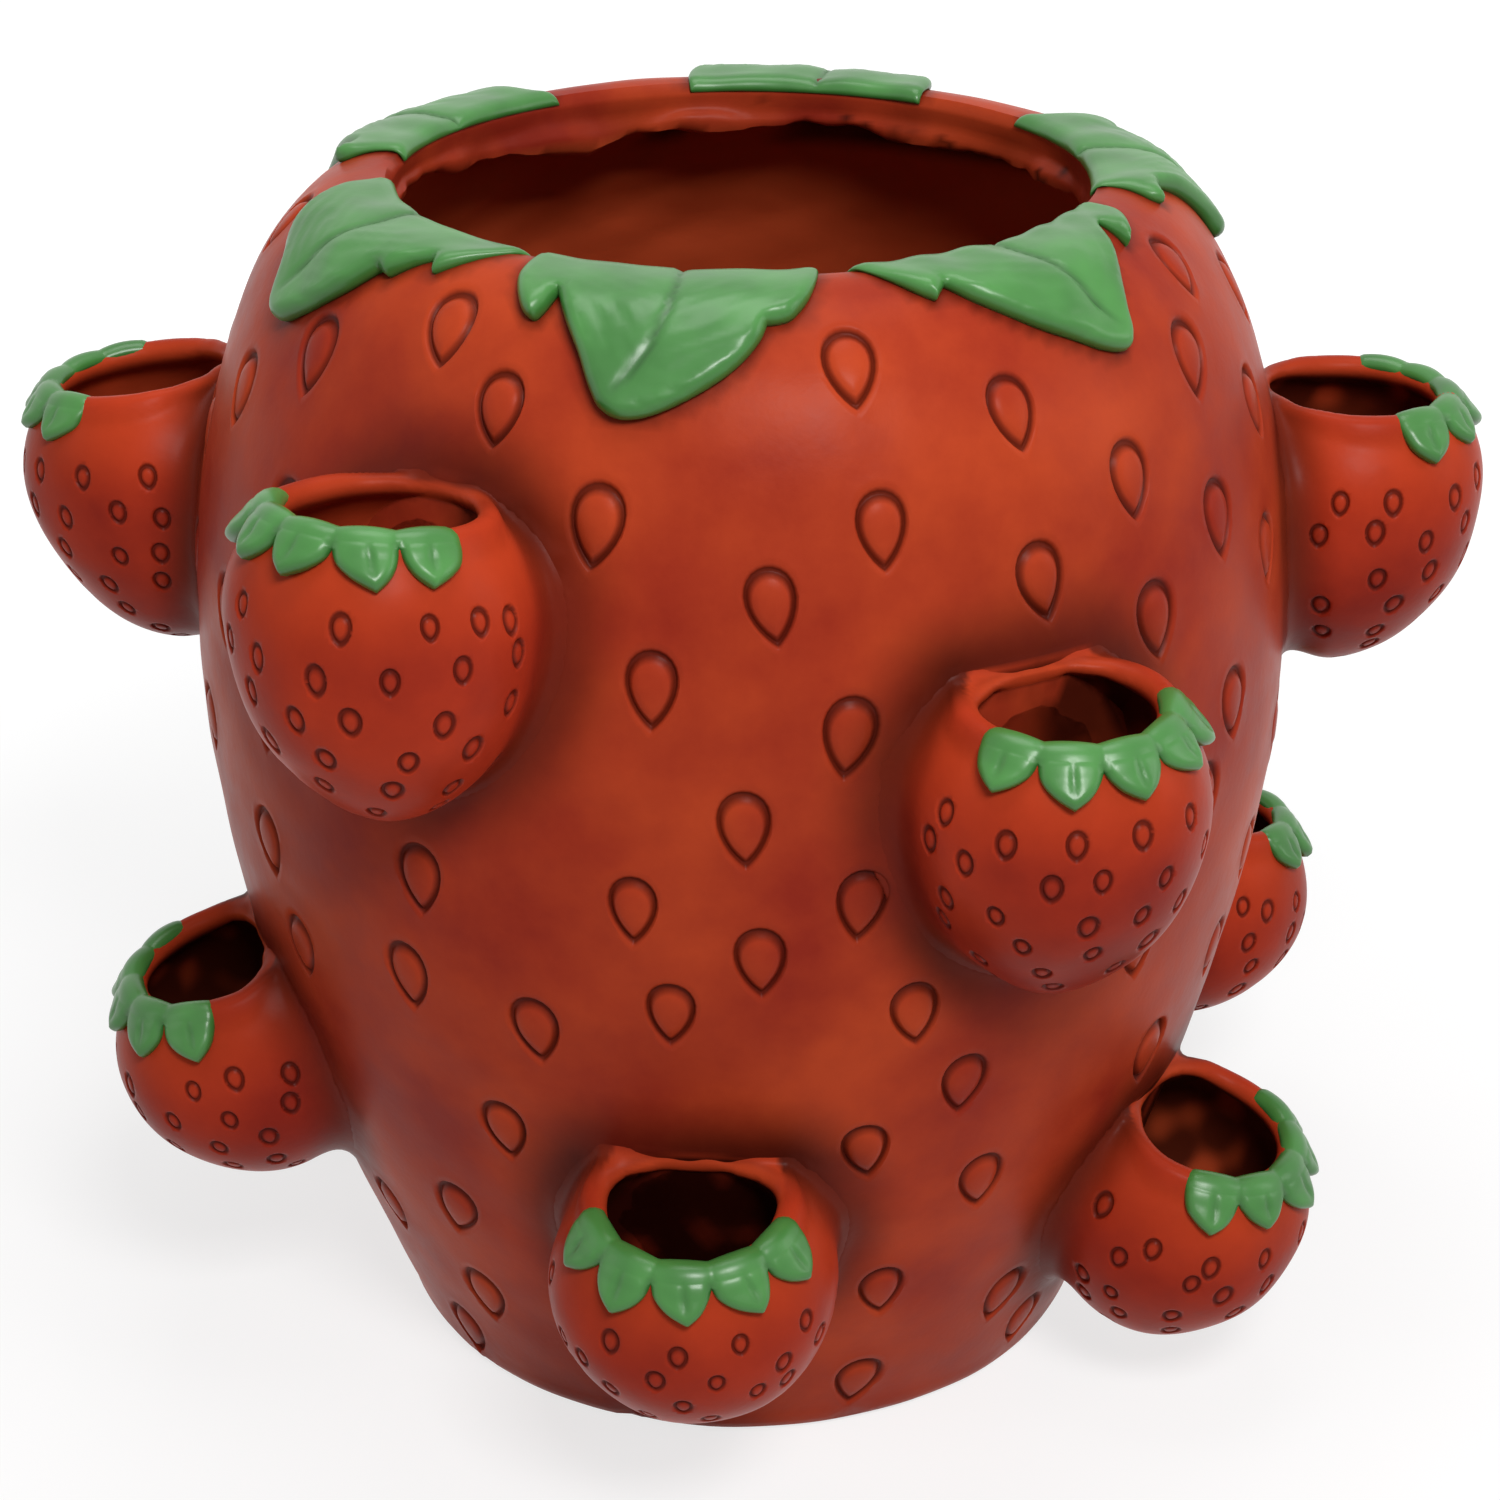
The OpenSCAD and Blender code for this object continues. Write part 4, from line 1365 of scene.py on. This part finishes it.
def painted_red(name, paints, on_pocket):
    """Acrylic paint brushed by hand over cast resin under a satin varnish. The red is laid in
    cloudy patches, with painted shade in the grooves, corners and beside the leaves, a painted
    highlight of orange on the pockets' lips, near-black painted shade in the holes and under the
    lips, and a soft uneven sheen from the varnish. Inside, the paint thins out to the raw dark
    resin."""
    material, tree = new_material(name)
    where = add(tree, "ShaderNodeTexCoord").outputs["Object"]
    # cloudy patches of paint about 45 mm across, with brush mottling about 7 mm across
    clouds = add(tree, "ShaderNodeTexNoise", {
        "Vector": where, "Scale": 1 / (45 * MM), "Detail": 2.0, "Roughness": 0.5}).outputs["Fac"]
    brush = add(tree, "ShaderNodeTexNoise", {
        "Vector": where, "Scale": 1 / (7 * MM), "Detail": 3.0, "Roughness": 0.6}).outputs["Fac"]
    patch = add(tree, "ShaderNodeMath", {0: clouds, 1: 2.6, 2: -0.8},
                operation="MULTIPLY_ADD", use_clamp=True).outputs[0]
    patch = add(tree, "ShaderNodeMath", {0: brush, 1: 0.5, 2: patch},
                operation="MULTIPLY_ADD").outputs[0]
    patch = add(tree, "ShaderNodeMath", {0: patch, 1: -0.25},
                operation="ADD", use_clamp=True).outputs[0]
    colour = add(tree, "ShaderNodeMix", {
        0: patch, 6: rgba(paints.pot_deep), 7: rgba(paints.pot_red)},
        data_type="RGBA").outputs[2]
    if on_pocket:
        # the filler keeps the pot's own red where it runs out on the pot
        own = add(tree, "ShaderNodeMix", {
            0: patch, 6: rgba(paints.pocket_deep), 7: rgba(paints.pocket_red)},
            data_type="RGBA").outputs[2]
        colour = faded(tree, own, "blend", 1.0, colour)
        # painted highlight: lighter orange on the pockets' lips and tops
        colour = faded(tree, colour, "lip", 0.75, rgba(paints.lip))
    colour = faded(tree, colour, "raw", 1.0, rgba(paints.raw))
    # painted shade: broken up in cloudy patches in the corners, full in the grooves
    broken = add(tree, "ShaderNodeMath", {0: clouds, 1: 1.3, 2: 0.25},
                 operation="MULTIPLY_ADD", use_clamp=True).outputs[0]
    broken = add(tree, "ShaderNodeMath", {0: broken, 1: 0.9}, operation="MULTIPLY").outputs[0]
    colour = faded(tree, colour, "corner", broken, rgba(paints.painted_shade))
    if not on_pocket:
        # painted shadow on the pot beside the crown leaves
        colour = faded(tree, colour, "shade", 0.6, rgba(paints.painted_shade))
    # painted shade in the seeds' grooves and on the band under the rim
    colour = faded(tree, colour, "painted_shade", 0.72, rgba(paints.painted_shade))
    # near-black painted shade in the holes, inside the pockets, under the lips and on the torn edge
    colour = faded(tree, colour, "cut", 0.95, rgba(paints.cut))
    raw = add(tree, "ShaderNodeAttribute", attribute_name="raw").outputs["Fac"]
    rough = add(tree, "ShaderNodeMath", {0: brush, 1: 0.16, 2: 0.28},
                operation="MULTIPLY_ADD").outputs[0]
    rough = add(tree, "ShaderNodeMath", {0: raw, 1: 0.2, 2: rough},
                operation="MULTIPLY_ADD").outputs[0]
    # bristle marks and casting grain 2.2 mm across, coarser than real ones so that they show,
    # over soft bumps as wide as the patches
    grain = add(tree, "ShaderNodeTexNoise", {
        "Vector": where, "Scale": 1 / (2.2 * MM), "Detail": 3.0}).outputs["Fac"]
    bump = add(tree, "ShaderNodeBump", {
        "Height": grain, "Strength": 0.22, "Distance": 0.25 * MM}).outputs["Normal"]
    bump = add(tree, "ShaderNodeBump", {
        "Height": clouds, "Strength": 0.5, "Distance": 1.5 * MM, "Normal": bump}).outputs["Normal"]
    # the specular level is low, so that the varnish mirrors little of the white studio
    shader = add(tree, "ShaderNodeBsdfPrincipled", {
        "Base Color": colour, "Roughness": rough, "IOR": 1.49, "Specular IOR Level": 0.06,
        "Normal": bump})
    add(tree, "ShaderNodeOutputMaterial", {"Surface": shader.outputs["BSDF"]})
    return material


def painted_green(name, paints):
    """Leaf green acrylic under a semi-gloss varnish. It is even and smooth, so light runs
    along the rolled edges in bright lines. A darker green is painted shade in the midribs and
    between the collars' leaflets, and on the rolled edges and the undersides."""
    material, tree = new_material(name)
    where = add(tree, "ShaderNodeTexCoord").outputs["Object"]
    # soft change of tone about 16 mm across, and fine brush strokes about 2.5 mm across
    tone = add(tree, "ShaderNodeTexNoise", {
        "Vector": where, "Scale": 1 / (16 * MM), "Detail": 2.0}).outputs["Fac"]
    stroke = add(tree, "ShaderNodeTexNoise", {
        "Vector": where, "Scale": 1 / (2.5 * MM), "Detail": 2.0}).outputs["Fac"]
    share = add(tree, "ShaderNodeMath", {0: tone, 1: 1.8, 2: -0.4},
                operation="MULTIPLY_ADD", use_clamp=True).outputs[0]
    colour = add(tree, "ShaderNodeMix", {
        0: share, 6: rgba(paints.green_deep), 7: rgba(paints.green)}, data_type="RGBA").outputs[2]
    # painted shade: darkest green in the creases, dark green on the rolled edges and undersides
    colour = faded(tree, colour, "crease", 0.75, rgba(paints.crease_shade_green))
    colour = faded(tree, colour, "edge", 0.5, rgba(paints.edge_shade_green))
    bump = add(tree, "ShaderNodeBump", {
        "Height": stroke, "Strength": 0.15, "Distance": 0.2 * MM}).outputs["Normal"]
    rough = add(tree, "ShaderNodeMath", {0: tone, 1: 0.12, 2: 0.26},
                operation="MULTIPLY_ADD").outputs[0]
    shader = add(tree, "ShaderNodeBsdfPrincipled", {
        "Base Color": colour, "Roughness": rough, "IOR": 1.49, "Specular IOR Level": 0.45,
        "Normal": bump})
    add(tree, "ShaderNodeOutputMaterial", {"Surface": shader.outputs["BSDF"]})
    return material


def seen_directly(tree):
    """A socket that is 1 for rays from the camera, from reflections and through glass."""
    path = add(tree, "ShaderNodeLightPath").outputs
    seen = path["Is Camera Ray"]
    for name in ("Is Glossy Ray", "Is Transmission Ray"):
        seen = add(tree, "ShaderNodeMath", {0: seen, 1: path[name]},
                   operation="MAXIMUM").outputs[0]
    return seen


def studio_white(name):
    """Matt white studio paper. Light from the paper itself carries the white that is seen, more
    of it far from the lamps, and a thin diffuse layer keeps the planter's soft shadow on it."""
    material, tree = new_material(name)
    plain = add(tree, "ShaderNodeBsdfDiffuse", {"Color": (0.6, 0.6, 0.6, 1)})
    where = add(tree, "ShaderNodeTexCoord").outputs["Object"]
    far = add(tree, "ShaderNodeVectorMath", {0: where}, operation="LENGTH").outputs["Value"]
    glow = add(tree, "ShaderNodeMapRange", {
        "Value": far, "From Min": 0.2, "From Max": 1.0, "To Min": 0.74, "To Max": 1.0})
    light = add(tree, "ShaderNodeEmission", {"Strength": glow.outputs["Result"]})
    layer = add(tree, "ShaderNodeBsdfDiffuse", {"Color": (0.3, 0.3, 0.3, 1)})
    both = add(tree, "ShaderNodeAddShader", {0: light.outputs[0], 1: layer.outputs[0]})
    mix = add(tree, "ShaderNodeMixShader", {
        0: seen_directly(tree), 1: plain.outputs[0], 2: both.outputs[0]})
    add(tree, "ShaderNodeOutputMaterial", {"Surface": mix.outputs[0]})
    return material


POT_SPACING = (3.4 * MM, 4.5 * MM)
RIM_POINTS = (190, 150)
WINDOW_SPACING = (1.5 * MM, 2.4 * MM)
POCKET_SPACING = (1.15 * MM, 2.0 * MM)
# Spacing of the points along a crown leaf's outline, over the leaf, and over a collar
LEAF_OUTLINE_SPACING = 0.9 * MM
LEAF_SPACING = 1.5 * MM
COLLAR_SPACING = 0.8 * MM
# Angles in degrees from which an edge is shaded as sharp
POT_SHARP = 50
POCKET_SHARP = 62
LEAF_SHARP = 70


def at_detail(choices):
    return choices[0]


def material_of(name, make, *values):
    """The material of a name, made the first time that it is asked for."""
    return bpy.data.materials.get(name) or make(name, *values)


def all_pockets(scene):
    """The pot's skin and field, and every pocket with its fields."""
    pot, pockets = scene.planter_pot, scene.planter_pockets
    skin = pot_skin(pot)
    solid = pot_field(skin)
    berries = {True: Berry(pockets, pockets.upper_length),
               False: Berry(pockets, pockets.lower_length)}
    made = {name: Pocket(name, pot, pockets, skin, solid, berries, i)
            for i, name in enumerate(POCKETS)}
    return skin, solid, made


def green_piece(name, node, paints, points, faces, crease, edge):
    """A painted crown leaf or collar that stands for a node of the frame."""
    material = material_of("varnished_acrylic_green", painted_green, paints)
    piece = new_piece(name, points, faces, [material], node)
    mark(piece, crease=crease, edge=edge)
    finish_shading(piece, LEAF_SHARP)


class PLANTER_OT_pot(bpy.types.Operator):
    """Build the big pot with its incised seeds, torn throat and raw windows"""
    bl_idname = "planter.pot"
    bl_label = "Pot"

    def execute(self, context):
        scene = context.scene
        pot, seeds = scene.planter_pot, scene.planter_seeds
        skin, solid, pockets = all_pockets(scene)
        pockets = list(pockets.values())
        spots = seed_spots(skin, pockets, seeds)
        points, faces = pot_shell(pot, skin, pockets, spots, seeds, at_detail(POT_SPACING),
                                  at_detail(RIM_POINTS))
        material = material_of("brushed_acrylic_pot_red", painted_red, scene.planter_paints,
                               False)
        piece = new_piece("pot", points, faces, [material], "pot_body")
        cutters = []
        for pocket in pockets:
            low = np.array([-40 * MM, -42 * MM, -pocket.depth])
            high = np.array([40 * MM, pocket.stand + 4.6 * pot.wall, 8 * MM])
            cutter, its_faces = surface_net(pocket.opening, low, high, at_detail(WINDOW_SPACING))
            cutters.append((pocket.world(cutter), its_faces))
        carve(piece, *joined(cutters))
        finish_shading(piece, POT_SHARP)
        leaves = [(math.radians(azimuth), leaf_outline(leaf, flip, 2 * MM)[0])
                  for azimuth, flip, leaf in CROWN_LEAVES.values()]
        mark(piece, **pot_marks(pot, places(piece), solid, skin, pockets, leaves))
        return {"FINISHED"}


class PLANTER_OT_pockets(bpy.types.Operator):
    """Build the strawberry pockets with their filler, lips and small seeds"""
    bl_idname = "planter.pockets"
    bl_label = "Pockets"

    def execute(self, context):
        scene = context.scene
        pockets = all_pockets(scene)[2]
        material = material_of("brushed_acrylic_pocket_red", painted_red, scene.planter_paints,
                               True)
        for name, pocket in pockets.items():
            low = np.array([-54 * MM, -43 * MM, -pocket.depth - 17 * MM])
            high = np.array([54 * MM, 50 * MM, 19 * MM])
            points, faces = surface_net(pocket.wall, low, high, at_detail(POCKET_SPACING))
            piece = new_piece(name + "_wall", points, faces, [material], name)
            carve(piece, *pocket_seed_cutters(pocket, scene.planter_seeds))
            finish_shading(piece, POCKET_SHARP)
            spots = places(piece)
            mark(piece, **pocket_marks(pocket, spots))
            piece.data.vertices.foreach_set("co", pocket.world(spots).ravel())
            piece.data.update()
        return {"FINISHED"}


class PLANTER_OT_crown(bpy.types.Operator):
    """Build the crown of leaves over the rim"""
    bl_idname = "planter.crown"
    bl_label = "Crown leaves"

    def execute(self, context):
        scene = context.scene
        skin = pot_skin(scene.planter_pot)
        for seed, (name, (azimuth, flip, leaf)) in enumerate(CROWN_LEAVES.items()):
            outline, rib = leaf_outline(leaf, flip, LEAF_OUTLINE_SPACING)
            made = crown_leaf_mesh(scene.planter_leaves, skin, math.radians(azimuth), outline,
                                   rib, seed, LEAF_SPACING)
            green_piece(name + "_blade", name, scene.planter_paints, *made)
        return {"FINISHED"}


class PLANTER_OT_collars(bpy.types.Operator):
    """Build the leafy collars round the pockets' lips"""
    bl_idname = "planter.collars"
    bl_label = "Pocket collars"

    def execute(self, context):
        scene = context.scene
        for name, pocket in all_pockets(scene)[2].items():
            made = collar_mesh(scene.planter_leaves, pocket, COLLAR_SPACING)
            green_piece("collar_leaflets_" + name, "collar_" + name, scene.planter_paints, *made)
        return {"FINISHED"}


# Softboxes in metres and watts: place, width and height, and power. All face one point.
SOFTBOXES = {
    "key_box": ((0.3, -1.1, 1.3), (0.5, 0.36), 15),
    "top_box": ((0, 0.1, 1.6), (0.8, 0.8), 7),
    "left_box": ((-1.3, -0.3, 0.7), (0.4, 0.7), 0.7),
    "right_box": ((1.3, -0.2, 0.7), (0.4, 0.7), 2.0),
}
LAMP_AIM = (0, 0, 0.18)
# How strongly the world lights the planter, which is less than it shows
WORLD_STRENGTH = 0.22
# Radii of the round floor's rings in metres, and points on each
FLOOR_RINGS = (0.4, 1.2, 3.0)
FLOOR_POINTS = 64
# The photograph's frame in pixels, where the pot's axis stands in it, and the focal length
IMAGE_SIDE = 1500
AXIS_PIXEL = 742
FOCAL_PIXELS = 3328
# The camera's sensor width in millimetres, its place in metres and how far it looks down
SENSOR = 36
CAMERA_PLACE = (0, -0.850, 0.564)
CAMERA_DOWN = 25.31


def add_object(name, data):
    """A new object in the scene."""
    made = bpy.data.objects.new(name, data)
    bpy.context.scene.collection.objects.link(made)
    return made


def add_softbox(name, place, size, watts):
    """A rectangular softbox that faces the planter."""
    light = bpy.data.lights.new(name, "AREA")
    light.shape = "RECTANGLE"
    light.size, light.size_y = size
    light.energy = watts
    lamp = add_object(name, light)
    lamp.location = place
    facing = Vector(LAMP_AIM) - Vector(place)
    lamp.rotation_euler = facing.to_track_quat("-Z", "Y").to_euler()


def add_floor():
    """A round flat floor of white paper."""
    count = FLOOR_POINTS
    turns = [2 * math.pi * i / count for i in range(count)]
    points = [(0, 0, 0)] + [(r * math.cos(turn), r * math.sin(turn), 0)
                            for r in FLOOR_RINGS for turn in turns]
    faces = [(0, 1 + i, 1 + (i + 1) % count) for i in range(count)]
    for a in range(1, (len(FLOOR_RINGS) - 1) * count, count):
        b = a + count
        faces += [(a + i, b + i, b + (i + 1) % count, a + (i + 1) % count) for i in range(count)]
    mesh = bpy.data.meshes.new("studio_floor")
    mesh.from_pydata(points, [], faces)
    mesh.materials.append(studio_white("matt_white_paper"))
    add_object("studio_floor", mesh)


def set_world(scene):
    """A world that lights softly and is seen as white."""
    scene.world = bpy.data.worlds.new("white_studio")
    scene.world.use_nodes = True
    tree = scene.world.node_tree
    tree.nodes.clear()
    dim = add(tree, "ShaderNodeBackground", {"Strength": WORLD_STRENGTH})
    white = add(tree, "ShaderNodeBackground", {"Color": (1, 1, 1, 1), "Strength": 1.0})
    mix = add(tree, "ShaderNodeMixShader", {
        0: seen_directly(tree), 1: dim.outputs[0], 2: white.outputs[0]})
    add(tree, "ShaderNodeOutputWorld", {"Surface": mix.outputs[0]})


class PLANTER_OT_studio(bpy.types.Operator):
    """Set up the white floor, the softboxes and the camera"""
    bl_idname = "planter.studio"
    bl_label = "Studio"

    def execute(self, context):
        scene = context.scene
        add_floor()
        set_world(scene)
        for name, (place, size, watts) in SOFTBOXES.items():
            add_softbox(name, place, size, watts)
        camera = bpy.data.cameras.new("camera")
        camera.sensor_width = SENSOR
        camera.lens = FOCAL_PIXELS * SENSOR / IMAGE_SIDE
        camera.shift_x = (IMAGE_SIDE / 2 - AXIS_PIXEL) / IMAGE_SIDE
        camera.clip_end = 20
        scene.camera = add_object("camera", camera)
        scene.camera.location = CAMERA_PLACE
        scene.camera.rotation_euler = (math.radians(90 - CAMERA_DOWN), 0, 0)
        scene.view_settings.view_transform = "Standard"
        return {"FINISHED"}


class PLANTER_PT_panel(bpy.types.Panel):
    """Planter steps and sizes"""
    bl_idname = "PLANTER_PT_panel"
    bl_label = "Strawberry planter"
    bl_space_type = "VIEW_3D"
    bl_region_type = "UI"
    bl_category = "Planter"

    def draw(self, context):
        for operator in OPERATORS:
            self.layout.operator(operator.bl_idname)
        for name in GROUPS:
            group = getattr(context.scene, name)
            box = self.layout.box()
            box.label(text=name.replace("_", " ").capitalize())
            for key in group.bl_rna.properties.keys():
                if key not in ("rna_type", "name"):
                    box.prop(group, key)


OPERATORS = (PLANTER_OT_pot, PLANTER_OT_pockets, PLANTER_OT_crown, PLANTER_OT_collars,
             PLANTER_OT_studio)
GROUPS = {"planter_pot": PlanterPot, "planter_pockets": PlanterPockets,
          "planter_leaves": PlanterLeaves, "planter_seeds": PlanterSeeds,
          "planter_paints": PlanterPaints}


def register():
    for group in GROUPS.values():
        bpy.utils.register_class(group)
    for name, group in GROUPS.items():
        setattr(bpy.types.Scene, name, bpy.props.PointerProperty(type=group))
    for operator in OPERATORS:
        bpy.utils.register_class(operator)
    bpy.utils.register_class(PLANTER_PT_panel)


def unregister():
    bpy.utils.unregister_class(PLANTER_PT_panel)
    for operator in reversed(OPERATORS):
        bpy.utils.unregister_class(operator)
    for name, group in GROUPS.items():
        delattr(bpy.types.Scene, name)
        bpy.utils.unregister_class(group)


def main():
    register()
    bpy.ops.planter.studio()
    bpy.ops.planter.pot()
    bpy.ops.planter.pockets()
    bpy.ops.planter.crown()
    bpy.ops.planter.collars()


if __name__ == "__main__":
    main()
